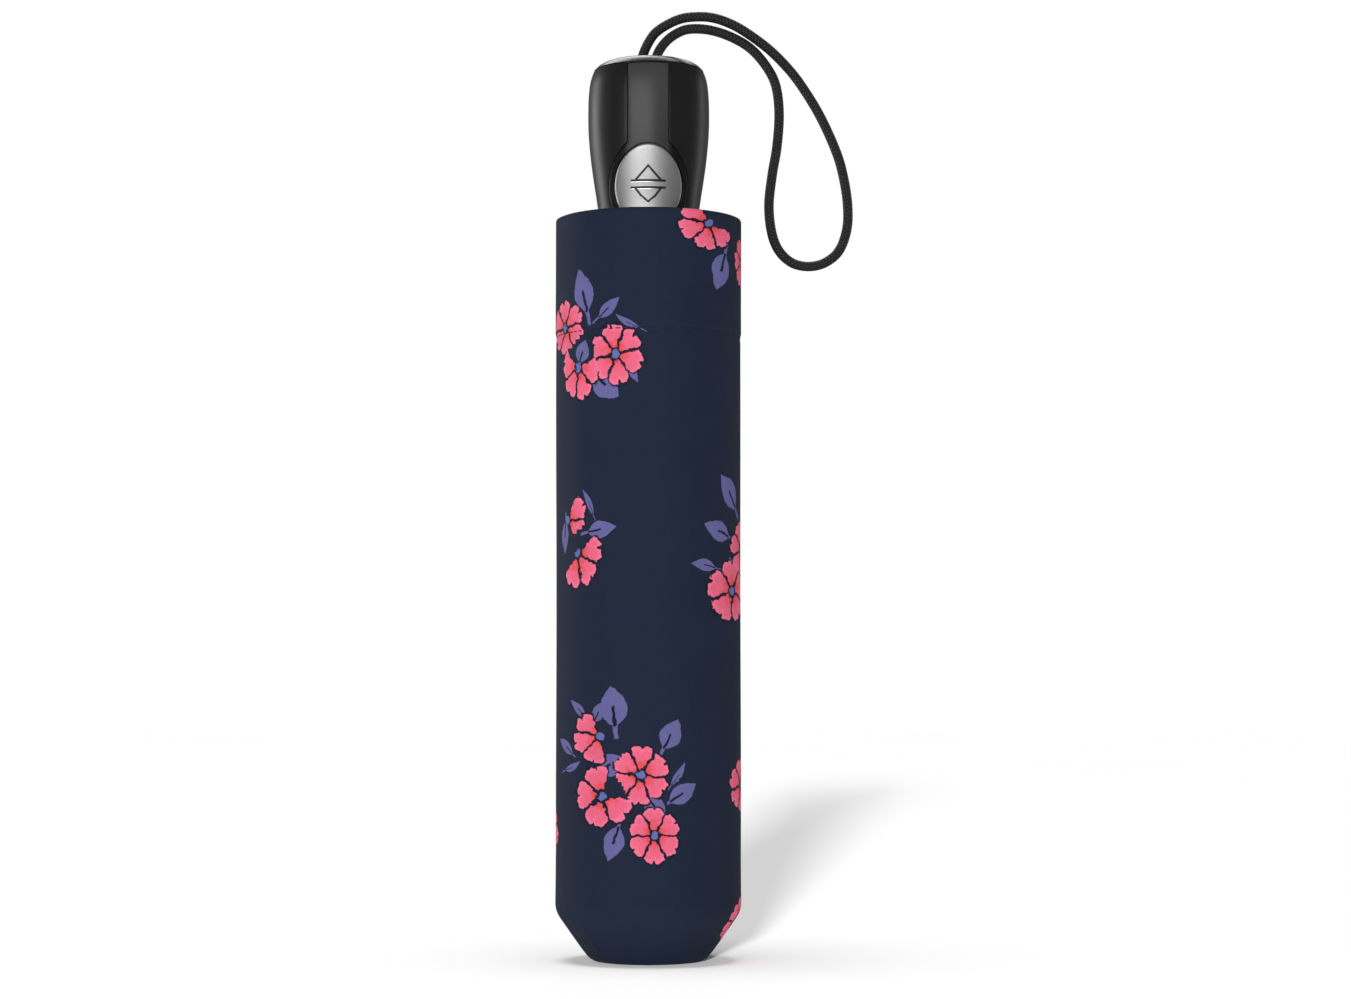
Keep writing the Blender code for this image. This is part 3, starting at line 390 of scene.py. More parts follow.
def flower_print(finish, ground, wobble, ripple):
    """Petals round a small eye, in the flower's own coordinates, where its radius is 1."""
    x, y = finish.uv("flowers")
    x = finish.plus(x, finish.scaled(wobble, -0.14, 0.14))
    y = finish.plus(y, finish.scaled(ripple, -0.14, 0.14))
    squares = finish.plus(finish.times(x, x), finish.times(y, y))
    radius = finish.math("SQRT", squares)
    count = finish.value_of("petal_count")
    turns = finish.plus(finish.math("DIVIDE", finish.math("ARCTAN2", y, x), 2 * math.pi), 0.5)
    sector = finish.times(turns, count)
    off_middle = finish.math("ABSOLUTE", finish.minus(finish.math("FRACT", sector), 0.5))
    to_side = finish.math("DIVIDE", finish.minus(0.5, off_middle), count)
    side_gap = finish.times(radius, finish.math("SINE", finish.times(to_side, 2 * math.pi)))
    corner = finish.math("POWER", finish.times(off_middle, 2.0), 4.0)
    notch = finish.times(finish.step(off_middle, 0.085, 0.0), 0.13)
    tip = finish.minus(finish.minus(1.0, finish.times(corner, 0.24)), notch)
    to_tip = finish.minus(tip, radius)
    shown = finish.math("GREATER_THAN", finish.math("FLOOR", sector), finish.value_of("petals_missing"))
    petal = finish.times(finish.step(side_gap, 0.036, 0.060), finish.step(to_tip, 0.0, 0.03))
    petal = finish.times(petal, finish.step(radius, 0.19, 0.25))
    petal = finish.times(petal, shown)
    outline = finish.times(finish.step(to_tip, -0.09, -0.06), shown)
    eye = finish.step(radius, 0.155, 0.125)
    warm = finish.step(finish.plus(radius, finish.scaled(ripple, -0.35, 0.35)), 0.62, 0.22)
    pink = finish.mix(finish.step(to_tip, 0.22, 0.02), PETAL_PINK, PETAL_EDGE)
    pink = finish.mix(finish.times(warm, 0.85), pink, PETAL_RED)
    inked = finish.mix(finish.times(outline, 0.9), ground, NAVY_INK)
    inked = finish.mix(petal, inked, pink)
    return finish.mix(eye, inked, FLOWER_EYE)


def make_printed_cloth():
    finish = Finish("navy_floral_cloth", 0.7, Sheen_Weight=0.02, Sheen_Roughness=0.4, Specular_IOR_Level=0.10)
    wobble = finish.noise(480.0, 3.0)
    ripple = finish.noise(440.0, 3.0, finish.stretched(finish.place(), (1.0, 1.0, 1.31)))
    ground = finish.plain(NAVY)
    ground = leaf_print(finish, ground, wobble)
    ground = flower_print(finish, ground, wobble, ripple)
    cloth_surface(finish, ground)
    return finish.material


def make_plain_cloth(name, colour):
    finish = Finish(name, 0.75, Sheen_Weight=0.03, Sheen_Roughness=0.4, Specular_IOR_Level=0.14)
    cloth_surface(finish, finish.plain(colour))
    return finish.material


def make_thread(name, colour):
    finish = Finish(name, 0.6)
    strands = finish.noise(1.0, 2.0, finish.stretched(finish.place(), (5200.0, 5200.0, 9000.0)))
    finish.colour(finish.tone(finish.plain(colour), finish.scaled(strands, 0.7, 1.25)))
    finish.bump(strands, 0.04 * MM)
    return finish.material


def make_braided_cord():
    """Diagonal plaits both ways round the cord."""
    sheen = {"Sheen_Weight": 0.05, "Sheen_Roughness": 0.35}
    finish = Finish("black_braided_cord", 0.5, Specular_IOR_Level=0.6, **sheen)
    turn, along = finish.uv("cloth")
    plaits = finish.times(turn, 2 * math.pi * PLAITS_ROUND)
    pitch = finish.times(along, 2 * math.pi / PLAIT_PITCH)
    right = finish.math("SINE", finish.plus(plaits, pitch))
    left = finish.math("SINE", finish.minus(plaits, pitch))
    braid = finish.math("MAXIMUM", right, left)
    fibres = finish.noise(1800.0, 3.0)
    shade = finish.times(finish.step(braid, -0.2, 1.0), finish.scaled(fibres, 0.7, 1.3))
    finish.colour(finish.mix(shade, (0.0030, 0.0030, 0.0033), (0.014, 0.014, 0.015)))
    finish.roughness(finish.scaled(fibres, 0.42, 0.62))
    finish.bump(finish.plus(braid, finish.times(fibres, 0.4)), 0.14 * MM, 0.8)
    return finish.material


def make_moulded(name, colour, smooth, rough, grain=0.008, shine=0.5):
    """Moulded plastic: fine spark-eroded grain, faint flow marks and slightly polished wear."""
    finish = Finish(name, (smooth + rough) / 2, Specular_IOR_Level=shine)
    flow = finish.noise(1.0, 2.0, finish.stretched(finish.place(), (35.0, 35.0, 9.0)))
    specks = finish.noise(2600.0, 2.0)
    wear = finish.noise(110.0, 4.0)
    finish.colour(finish.tone(finish.plain(colour), finish.scaled(flow, 0.85, 1.15)))
    finish.roughness(finish.scaled(finish.plus(wear, finish.scaled(flow, -0.2, 0.2)), smooth, rough))
    finish.bump(specks, grain * MM, 0.35)
    return finish.material


def make_panel():
    """Charcoal down the strip, and black round the button that also carries painted shade. Painted light
    makes the panel lighter towards the top.
    """
    finish = Finish("charcoal_panel", 0.3, Specular_IOR_Level=0.30)
    split = finish.add("ShaderNodeSeparateXYZ")
    finish.plug(finish.place(), split.inputs[0])
    # Off the strip, round the button: the ring's own black, darkened further as painted shade.
    off_strip = finish.step(finish.math("ABSOLUTE", split.outputs["X"]), 5.6 * MM, 7.6 * MM)
    flow = finish.noise(1.0, 2.0, finish.stretched(finish.place(), (35.0, 35.0, 9.0)))
    # Painted light and shade: the colour is lighter towards the panel's top and darker towards its bottom.
    painted_light_to_top = finish.scaled(finish.step(split.outputs["Z"], RIM_Z + 14 * MM, RIM_Z + 46 * MM), 0.78, 1.25)
    base = finish.mix(off_strip, PANEL_CHARCOAL, RING_BLACK_AND_PAINTED_SHADE)
    finish.colour(finish.tone(base, finish.times(painted_light_to_top, finish.scaled(flow, 0.85, 1.15))))
    finish.roughness(finish.scaled(finish.noise(110.0, 4.0), 0.26, 0.38))
    finish.bump(finish.noise(2600.0, 2.0), 0.004 * MM, 0.35)
    return finish.material


def make_brushed_button():
    """Satin metal finish, brushed upwards."""
    finish = Finish("brushed_silver", 0.44, 1.0, Anisotropic=0.3, Coat_Weight=0.1, Coat_Roughness=0.12)
    brush = finish.noise(1.0, 3.0, finish.stretched(finish.place(), (5200.0, 5200.0, 190.0)))
    cloud = finish.noise(260.0, 2.0)
    finish.colour(finish.tone(finish.plain(BUTTON_SILVER), finish.scaled(cloud, 0.94, 1.05)))
    finish.roughness(finish.scaled(brush, 0.38, 0.56))
    finish.bump(brush, 0.012 * MM, 0.5)
    return finish.material


def make_steel(name, colour, smooth, rough, streak=(2600.0, 2600.0, 40.0)):
    """Drawn or plated steel with fine streaks along the drawing marks."""
    finish = Finish(name, (smooth + rough) / 2, 1.0)
    streaks = finish.noise(1.0, 3.0, finish.stretched(finish.place(), streak))
    smudge = finish.noise(70.0, 3.0)
    finish.colour(finish.tone(finish.plain(colour), finish.scaled(smudge, 0.85, 1.08)))
    uneven = finish.times(streaks, finish.scaled(smudge, 0.6, 1.4))
    finish.roughness(finish.scaled(uneven, smooth, rough))
    finish.bump(streaks, 0.01 * MM, 0.4)
    return finish.material


def make_ink(name, colour):
    finish = Finish(name, 0.45)
    flecks = finish.noise(1500.0, 2.0)
    finish.colour(finish.tone(finish.plain(colour), finish.scaled(flecks, 0.8, 1.2)))
    finish.roughness(finish.scaled(flecks, 0.35, 0.55))
    return finish.material


finishes = {
    "printed_cloth": make_printed_cloth(),
    "plain_cloth": make_plain_cloth("navy_plain_cloth", NAVY),
    "seam_thread": make_thread("navy_seam_thread", (0.005, 0.017, 0.034)),
    "braided_cord": make_braided_cord(),
    "satin_handle": make_moulded("satin_black_handle", (0.0075, 0.0075, 0.0075), 0.32, 0.42, 0.008, 0.36),
    "panel": make_panel(),
    "cap": make_moulded("gloss_black_cap", (0.020, 0.020, 0.020), 0.20, 0.32, 0.004),
    "hub_plastic": make_moulded("black_hub_plastic", (0.014, 0.014, 0.015), 0.35, 0.5),
    "housing_plastic": make_moulded("grey_housing_plastic", (0.10, 0.10, 0.105), 0.4, 0.6),
    "brushed_silver": make_brushed_button(),
    "bright_tube": make_steel("plated_tube_steel", (0.62, 0.62, 0.64), 0.14, 0.34),
    "dark_rib": make_steel("blackened_rib_steel", (0.060, 0.062, 0.068), 0.3, 0.5, (1800.0, 1800.0, 40.0)),
    "wire": make_steel("spring_wire_steel", (0.45, 0.45, 0.47), 0.25, 0.42, (900.0, 900.0, 900.0)),
    "mark_ink": make_ink("black_mark_ink", (0.004, 0.004, 0.004)),
    # Bright steel for thin bars just under the button's marks: a painted highlight along the marks' edges.
    "painted_mark_highlight": make_steel("painted_highlight_steel", (0.85, 0.85, 0.85), 0.15, 0.3),
}

# ---------------------------------------------------------------- the print's layout

# One spray of flowers and leaves, in millimetres: place round the cloth, height, radius along, radius
# across and turn in degrees. A flower adds its petals and how many are hidden, a leaf how far it bends.
UPPER_RIGHT_SPRAY = {
    "flowers": [(20.0, 223.0, 11.0, 8.0, 170, 6, 2), (40.5, 213.5, 7.5, 7.5, 30, 6, 0)],
    "leaves": [(25.0, 208.9, 6.2, 4.1, -110, 0.0)],
}
UPPER_LEFT_SPRAY = {
    "flowers": [
        (-30.7, 192.3, 9.6, 8.2, 4, 6, 0),
        (-9.9, 182.9, 8.6, 9.2, 10, 6, 0),
        (-23.6, 179.6, 8.4, 10.0, 200, 6, 2),
    ],
    "leaves": [
        (-21.5, 202.8, 7.0, 4.0, 105, 0.0),
        (-12.1, 197.1, 4.6, 1.9, 40, 0.1),
        (-6.2, 192.9, 4.3, 1.0, 150, -0.5),
        (-21.8, 184.4, 3.6, 2.9, 70, 0.0),
        (-12.9, 173.9, 5.8, 4.2, -45, 0.1),
        (-5.6, 178.0, 4.8, 1.6, -55, -0.2),
    ],
}
MIDDLE_LEFT_SPRAY = {
    "flowers": [(-24.0, 123.3, 9.6, 10.2, 220, 6, 3), (-29.4, 133.9, 9.4, 9.0, 240, 6, 4)],
    "leaves": [
        (-19.7, 138.7, 4.6, 1.0, 118, 0.4),
        (-14.6, 130.5, 5.2, 2.6, 9, 0.0),
        (-30.6, 128.6, 5.0, 2.2, -92, 0.2),
    ],
}
MIDDLE_RIGHT_SPRAY = {
    "flowers": [(31.2, 112.3, 12.0, 9.4, 306, 5, 0), (40.5, 125.5, 10.5, 8.4, 20, 6, 0)],
    "leaves": [
        (29.5, 142.5, 6.8, 4.0, 132, 0.0),
        (23.7, 130.5, 5.9, 3.1, 162, 0.0),
        (18.1, 119.6, 4.8, 1.8, 172, 0.2),
        (30.4, 119.6, 3.2, 2.6, 105, 0.0),
    ],
}
LOWER_SPRAY = {
    "flowers": [
        (-14.9, 68.5, 10.8, 8.2, 105, 6, 3),
        (-2.1, 57.2, 8.8, 8.9, 55, 6, 0),
        (-14.1, 50.8, 10.0, 9.2, 179, 5, 1),
        (2.1, 39.3, 7.8, 8.4, 0, 6, 0),
        (39.5, 53.6, 10.0, 8.0, 10, 6, 0),
        (40.5, 12.3, 9.5, 7.5, 0, 6, 0),
    ],
    "leaves": [
        (-23.7, 76.7, 4.4, 1.5, 142, 0.2),
        (-15.3, 76.0, 3.6, 2.2, 58, 0.0),
        (-10.5, 77.7, 6.3, 4.6, 96, 0.0),
        (7.2, 69.4, 5.0, 3.3, 63, 0.0),
        (-30.1, 65.4, 4.8, 1.7, 150, 0.2),
        (-26.4, 59.8, 4.2, 1.1, 20, 0.5),
        (-11.2, 60.4, 4.6, 3.4, 27, 0.0),
        (9.3, 57.6, 4.2, 1.1, 57, 0.3),
        (10.9, 51.9, 5.2, 2.9, 32, 0.0),
        (2.4, 47.6, 4.6, 3.0, -50, 0.0),
        (-10.5, 36.8, 5.6, 3.3, -109, 0.0),
    ],
}

# Each spray where it is drawn, then again round the back, moved round and up by millimetres.
SLEEVE_PRINT = [
    (UPPER_RIGHT_SPRAY, 0.0, 0.0),
    (UPPER_LEFT_SPRAY, 0.0, 0.0),
    (MIDDLE_LEFT_SPRAY, 0.0, 0.0),
    (MIDDLE_RIGHT_SPRAY, 0.0, 0.0),
    (LOWER_SPRAY, 0.0, 0.0),
    (LOWER_SPRAY, 86.0, 84.0),
    (MIDDLE_LEFT_SPRAY, 88.0, 84.0),
    (UPPER_LEFT_SPRAY, 92.0, -126.0),
    (MIDDLE_RIGHT_SPRAY, 92.0, -86.0),
    (MIDDLE_LEFT_SPRAY, 106.0, -30.0),
]
CANOPY_PRINT = [(spray, shift - 20.0, rise - 12.0) for spray, shift, rise in SLEEVE_PRINT]


def motifs(layout, kind):
    rows = []
    for spray, shift, rise in layout:
        for place_round, height, *shape in spray[kind]:
            rows.append((place_round + shift, height + rise, *shape))
    return np.array(rows, float)


def local_coordinates(motif_rows, round_mm, height_mm, centre_round, centre_height, girth):
    """Each face's nearest motif and its corners' places in that motif's own unit frame."""
    best = np.full(len(centre_round), np.inf)
    chosen = np.zeros(len(centre_round), int)
    for index, row in enumerate(motif_rows):
        off = (centre_round - row[0] + girth / 2) % girth - girth / 2
        turn = math.radians(row[4])
        rise = centre_height - row[1]
        along = (off * math.cos(turn) + rise * math.sin(turn)) / row[2]
        across = (rise * math.cos(turn) - off * math.sin(turn)) / row[3]
        distance = np.hypot(along, across)
        nearer = distance < best
        best[nearer] = distance[nearer]
        chosen[nearer] = index
    rows = motif_rows[chosen]
    wrapped = (centre_round - rows[:, 0] + girth / 2) % girth - girth / 2
    off = wrapped[:, None] + (round_mm - centre_round[:, None])
    rise = height_mm - rows[:, 1][:, None]
    turn = np.radians(rows[:, 4])[:, None]
    along = (off * np.cos(turn) + rise * np.sin(turn)) / rows[:, 2][:, None]
    across = (rise * np.cos(turn) - off * np.sin(turn)) / rows[:, 3][:, None]
    return chosen, along, across


def flower_coordinates(motif_rows, round_mm, height_mm, centre_round, centre_height, girth):
    """As local_coordinates, but the turn spins the petals inside an upright oval."""
    upright = motif_rows.copy()
    upright[:, 4] = 0.0
    chosen, across, up = local_coordinates(upright, round_mm, height_mm, centre_round, centre_height, girth)
    turn = np.radians(motif_rows[chosen][:, 4])[:, None]
    return chosen, across * np.cos(turn) + up * np.sin(turn), up * np.cos(turn) - across * np.sin(turn)


def lay_print(mesh, layout, corners, printed, girth_m):
    """Writes the UV maps and face values that the printed cloth's finish reads.

    corners has, for each face corner, its place round the cloth, its height (metres) and its face.
    """
    round_m, height_m, face = corners
    count = np.bincount(face)
    centre_round = (np.bincount(face, round_m) / count)[face] / MM
    centre_height = (np.bincount(face, height_m) / count)[face] / MM
    where = (round_m[:, None] / MM, height_m[:, None] / MM, centre_round, centre_height, girth_m / MM)
    flower_rows = motifs(layout, "flowers")
    leaf_rows = motifs(layout, "leaves")
    flower, fx, fy = flower_coordinates(flower_rows, *where)
    leaf, lx, ly = local_coordinates(leaf_rows, *where)
    for values in (fx, fy, lx, ly):
        values[~printed[face]] = 9.0
    maps = (("flowers", fx[:, 0], fy[:, 0]), ("leaves", lx[:, 0], ly[:, 0]), ("cloth", round_m, height_m))
    for name, x, y in maps:
        layer = mesh.uv_layers.new(name=name)
        layer.uv.foreach_set("vector", np.stack([x, y], axis=1).ravel().astype(np.float32))
    first_corner = np.concatenate([[0], np.cumsum(count)[:-1]])
    face_values = {
        "petal_count": flower_rows[flower[first_corner], 5],
        "petals_missing": flower_rows[flower[first_corner], 6] - 0.5,
        "leaf_bend": leaf_rows[leaf[first_corner], 5],
    }
    for name, values in face_values.items():
        attribute = mesh.attributes.new(name, "FLOAT", "FACE")
        attribute.data.foreach_set("value", values.astype(np.float32))


def lay_cloth_map(mesh, corners):
    layer = mesh.uv_layers.new(name="cloth")
    layer.uv.foreach_set("vector", np.stack(corners[:2], axis=1).ravel().astype(np.float32))


# ---------------------------------------------------------------- closed bodies from rows of points

def grid_solid(name, points, angles, along, ring=False):
    """A closed body from rows of points round the middle, each row's columns at the given angles.

    The first and last rows are capped by fans, or meet where ring is set. along is each row's distance
    along the cloth. Returns the mesh, and for each face corner its angle, distance along and face.
    """
    rows, columns = points.shape[:2]
    grid = np.arange(rows * columns).reshape(rows, columns)
    last = rows if ring else rows - 1
    low = grid[:last]
    high = np.roll(grid, -1, axis=0)[:last]
    quads = np.stack([low, np.roll(low, -1, 1), np.roll(high, -1, 1), high], axis=2).reshape(-1, 4)
    next_angles = np.append(angles[1:], angles[0] + 2 * math.pi)
    next_along = np.append(along[1:], along[-1] + (along[-1] - along[-2]))
    corner_angles = np.tile(np.stack([angles, next_angles, next_angles, angles], axis=1), (last, 1))
    row_pair = np.stack([along, along, next_along, next_along], axis=1)[:last]
    corner_along = np.repeat(row_pair, columns, axis=0)
    vertices = points.reshape(-1, 3)
    faces = quads.tolist()
    loop_angles = [corner_angles.ravel()]
    loop_along = [corner_along.ravel()]
    loop_faces = [np.repeat(np.arange(len(quads)), 4)]
    if not ring:
        for row in (0, rows - 1):
            pole = len(vertices)
            vertices = np.vstack([vertices, points[row].mean(axis=0)])
            this, following = grid[row], np.roll(grid[row], -1)
            here, there = angles, next_angles
            if row == 0:
                this, following, here, there = following, this, there, here
            start = len(faces)
            faces += [[pole, int(a), int(b)] for a, b in zip(this, following)]
            loop_angles.append(np.stack([(here + there) / 2, here, there], axis=1).ravel())
            loop_along.append(np.full(3 * columns, along[row]))
            loop_faces.append(np.repeat(np.arange(start, len(faces)), 3))
    mesh = bpy.data.meshes.new(name)
    mesh.from_pydata(vertices.tolist(), [], faces)
    return mesh, np.concatenate(loop_angles), np.concatenate(loop_along), np.concatenate(loop_faces)


def turned_points(angles, radius, height):
    return np.stack([radius * np.sin(angles), -radius * np.cos(angles), height], axis=-1)


def softened(path, reach, step=0.25 * MM):
    """A polyline of (radius, height) with its corners rounded by a moving average."""
    dense = spaced([Vector((*p, 0.0)) for p in path], step)[:, :2]
    half = max(1, round(reach / step / 2))
    kernel = np.ones(2 * half + 1) / (2 * half + 1)
    padded = np.concatenate([np.repeat(dense[:1], half, 0), dense, np.repeat(dense[-1:], half, 0)])
    soft = np.stack([np.convolve(padded[:, k], kernel, "valid") for k in range(2)], axis=1)
    soft[0], soft[-1] = dense[0], dense[-1]
    return soft


def path_rows(path, spacing):
    return spaced([Vector((*p, 0.0)) for p in path], spacing)[:, :2]


def distance_along(path):
    return np.concatenate([[0.0], np.cumsum(np.linalg.norm(np.diff(path, axis=0), axis=1))])


# ---------------------------------------------------------------- stitches

def stitch_group():
    """Sewn stitches at even spacing along the given line of edges."""
    tree = bpy.data.node_groups.new("stitch_line", "GeometryNodeTree")
    face = tree.interface
    face.new_socket("Geometry", in_out="INPUT", socket_type="NodeSocketGeometry")
    for name, value in (("Spacing", 0.0023), ("Length", 0.0017), ("Radius", 0.00014), ("Jitter", 0.12)):
        face.new_socket(name, in_out="INPUT", socket_type="NodeSocketFloat").default_value = value
    face.new_socket("Seed", in_out="INPUT", socket_type="NodeSocketInt").default_value = 3
    face.new_socket("Thread", in_out="INPUT", socket_type="NodeSocketMaterial")
    face.new_socket("Geometry", in_out="OUTPUT", socket_type="NodeSocketGeometry")
    given = tree.nodes.new("NodeGroupInput").outputs
    curve = wired(tree, "GeometryNodeMeshToCurve", {"Mesh": given["Geometry"]})
    spacing = {"Curve": curve.outputs["Curve"], "Length": given["Spacing"]}
    evenly = wired(tree, "GeometryNodeResampleCurve", spacing, mode="LENGTH")
    tangent = wired(tree, "GeometryNodeInputTangent", {}).outputs["Tangent"]
    aim = wired(tree, "FunctionNodeAlignRotationToVector", {"Vector": tangent}, axis="Z")
    bead = wired(tree, "GeometryNodeMeshUVSphere", {"Segments": 8, "Rings": 5, "Radius": 1.0})
    half = wired(tree, "ShaderNodeMath", {0: given["Length"], 1: 0.5}, operation="MULTIPLY").outputs[0]
    size = wired(tree, "ShaderNodeCombineXYZ", {"X": given["Radius"], "Y": given["Radius"], "Z": half})
    low = wired(tree, "ShaderNodeMath", {0: 1.0, 1: given["Jitter"]}, operation="SUBTRACT").outputs[0]
    chance = {2: low, 3: 1.0, "Seed": given["Seed"]}
    spread = wired(tree, "FunctionNodeRandomValue", chance, data_type="FLOAT")
    varied = {0: size.outputs[0], "Scale": spread.outputs[1]}
    scale = wired(tree, "ShaderNodeVectorMath", varied, operation="SCALE")
    laid = {
        "Points": evenly.outputs["Curve"],
        "Instance": bead.outputs["Mesh"],
        "Rotation": aim.outputs["Rotation"],
        "Scale": scale.outputs[0],
    }
    stitches = wired(tree, "GeometryNodeInstanceOnPoints", laid).outputs["Instances"]
    real = wired(tree, "GeometryNodeRealizeInstances", {"Geometry": stitches}).outputs["Geometry"]
    thread = wired(tree, "GeometryNodeSetMaterial", {"Geometry": real, "Material": given["Thread"]})
    smooth = wired(tree, "GeometryNodeSetShadeSmooth", {"Geometry": thread.outputs["Geometry"]})
    wired(tree, "NodeGroupOutput", {"Geometry": smooth.outputs["Geometry"]})
    return tree


STITCHES = stitch_group()


def sew(name, lines, **settings):
    """Stitches along lines of points, as one finished piece. A line is (points, closed)."""
    vertices = []
    edges = []
    for points, closed in lines:
        start = len(vertices)
        vertices += [tuple(p) for p in points]
        count = len(points)
        edges += [(start + k, start + (k + 1) % count) for k in range(count if closed else count - 1)]
    mesh = bpy.data.meshes.new(name + "_line")
    mesh.from_pydata(vertices, edges, [])
    line = bpy.data.objects.new(name + "_line", mesh)
    bpy.context.scene.collection.objects.link(line)
    modifier = line.modifiers.new("stitches", "NODES")
    modifier.node_group = STITCHES
    named = {s.name: s.identifier for s in STITCHES.interface.items_tree if s.in_out == "INPUT"}
    for key, value in {"Thread": finishes["seam_thread"], **settings}.items():
        modifier[named[key]] = value
    evaluated = line.evaluated_get(bpy.context.evaluated_depsgraph_get())
    made = bpy.data.meshes.new_from_object(evaluated)
    made.name = name
    bpy.data.objects.remove(line)
    piece = bpy.data.objects.new(name, made)
    bpy.context.scene.collection.objects.link(piece)
    return piece


# ---------------------------------------------------------------- sleeve

SLEEVE_COLUMNS = 300
SLEEVE_WALL = 0.8 * MM
SLEEVE_ROW = 1.2 * MM
FOOT_RADIUS = 17.5 * MM
FOOT_HEIGHT = 15.4 * MM
CORNER_SOFTNESS = 5.0 * MM
HEM_Z = RIM_Z - 36.3 * MM
HEM_STEP = 0.22
STITCH_PITCH = 2.3 * MM
SEAM_HALF_WIDTH = 2.4
RIM_ROUND = 0.4 * MM
# The rounded rim: how far in from the outside and down from the top, in millimetres.
RIM_EDGE = [(0.12, 0.1), (0.4, 0.0), (0.68, 0.1)]
FLOOR_INSET = 0.5 * MM
INNER_ROW = 5.0 * MM
HEM_POINTS = 360
SEAM_POINTS = 90
SEAM_STITCH_INSET = 0.9
# Soft creases of the sleeve: place round it, depth and half width, in millimetres.
CREASES = [
    (1.5, 0.50, 4.5), (20.0, 0.28, 4.0), (-17.0, 0.24, 5.0), (47.0, 0.40, 6.0),
    (-46.0, 0.36, 5.0), (68.0, 0.30, 5.0), (-70.0, 0.40, 6.0), (88.0, 0.15, 4.0),
]


def sleeve_relief(angle, height):
    """How far the sleeve's cloth stands off its round form, in metres."""
    place_round = angle * SLEEVE_RADIUS / MM
    z = height / MM
    girth = CIRCUMFERENCE / MM
    relief = np.zeros(np.broadcast(angle, height).shape)
    calm = smoothstep(z, 6.0, 34.0) * (1.0 - 0.55 * smoothstep(z, 196.0, 224.0))
    for index, (crease, depth, width) in enumerate(CREASES):
        middle = crease + 1.8 * np.sin(z / 41.0 + 1.7 * index)
        off = (place_round - middle + girth / 2) % girth - girth / 2
        relief -= depth * calm * np.exp(-((off / width) ** 2)) * (0.75 + 0.25 * np.sin(z / 27.0 + index))
    relief += 0.10 * calm * np.sin(3 * angle + z / 31.0) * np.sin(5 * angle - z / 43.0)
    hem = HEM_Z / MM
    relief += HEM_STEP * smoothstep(z, hem - 0.6, hem + 0.6)
    relief -= 0.30 * np.exp(-(((z - hem) / 0.8) ** 2))
    pucker = np.cos(2 * math.pi * place_round / (2.5 * STITCH_PITCH / MM) + np.sin(5 * angle))
    relief += 0.05 * pucker * np.exp(-(((z - hem) / 3.5) ** 2))
    gathers = np.sin(13 * angle + 0.8 * np.sin(3 * angle)) + 0.5 * np.sin(29 * angle + 1.0)
    relief += 0.16 * gathers * smoothstep(z, 0.5, 5.0) * (1.0 - smoothstep(z, 9.0, 22.0))
    behind = np.abs((place_round + girth / 2 + girth / 2) % girth - girth / 2)
    seam = 1.0 - smoothstep(behind, SEAM_HALF_WIDTH - 0.3, SEAM_HALF_WIDTH + 0.5)
    relief += 0.25 * seam * smoothstep(z, 3.0, 8.0)
    return relief * MM


def build_sleeve():
    rim_low = RIM_Z - RIM_ROUND
    outline = [(0.0, 0.0), (FOOT_RADIUS, 0.0), (SLEEVE_RADIUS, FOOT_HEIGHT), (SLEEVE_RADIUS, rim_low)]
    soft = softened(outline, CORNER_SOFTNESS)
    soft[:, 1] = np.maximum(soft[:, 1], 0.0)
    outer = path_rows(soft, SLEEVE_ROW)[1:]
    bore = SLEEVE_RADIUS - SLEEVE_WALL
    rim = [(SLEEVE_RADIUS - inset * MM, RIM_Z - drop * MM) for inset, drop in RIM_EDGE]
    slope = (SLEEVE_RADIUS - FOOT_RADIUS) / FOOT_HEIGHT
    floor_edge = FOOT_RADIUS - FLOOR_INSET
    shoulder = SLEEVE_WALL + (bore - floor_edge) / slope
    inside = [(bore, rim_low), (bore, shoulder), (floor_edge, SLEEVE_WALL), (0.0, SLEEVE_WALL)]
    inner = path_rows(inside, INNER_ROW)[:-1]
    path = np.concatenate([outer, np.array(rim), inner])
    angles = np.arange(SLEEVE_COLUMNS) * 2 * math.pi / SLEEVE_COLUMNS - math.pi
    angle, radius = np.meshgrid(angles, path[:, 0])
    height = np.repeat(path[:, 1][:, None], SLEEVE_COLUMNS, axis=1)
    follows = smoothstep(radius, FOOT_RADIUS * 0.9, FOOT_RADIUS * 1.1)
    radius = radius + sleeve_relief(angle, height) * follows
    along = distance_along(path)
    along += FOOT_HEIGHT - np.interp(FOOT_HEIGHT, outer[:, 1], along[: len(outer)])
    points = turned_points(angle, radius, height)
    mesh, turn, up, face = grid_solid("printed_sleeve", points, angles, along)
    corners = (turn * SLEEVE_RADIUS, up, face)
    printed = np.bincount(face, up) / np.bincount(face) < along[len(outer) + 1]
    lay_print(mesh, SLEEVE_PRINT, corners, printed, CIRCUMFERENCE)
    sleeve = add_mesh("printed_sleeve", mesh, 60)
    paint(sleeve, finishes["printed_cloth"])
    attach(sleeve, "sleeve")
    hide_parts("sleeve")

    turns = np.linspace(-math.pi, math.pi, HEM_POINTS + 1)[:-1]
    hem_z = np.full(HEM_POINTS, HEM_Z)
    hem_radius = SLEEVE_RADIUS + sleeve_relief(turns, hem_z) + 0.04 * MM
    lines = [(turned_points(turns, hem_radius, hem_z), True)]
    seam_z = np.linspace(FOOT_HEIGHT + 4 * MM, RIM_Z - 2 * MM, SEAM_POINTS)
    for side in (-1, 1):
        off_seam = side * (SEAM_HALF_WIDTH - SEAM_STITCH_INSET) * MM / SLEEVE_RADIUS
        turn = np.full(SEAM_POINTS, math.pi + off_seam)
        seam_radius = SLEEVE_RADIUS + sleeve_relief(turn, seam_z) + 0.05 * MM
        lines.append((turned_points(turn, seam_radius, seam_z), False))
    stitches = sew("sleeve_stitching", lines, Spacing=STITCH_PITCH, Length=1.75 * MM, Radius=0.20 * MM)
    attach(stitches, "sleeve")


# ---------------------------------------------------------------- rolled canopy, strap and snap

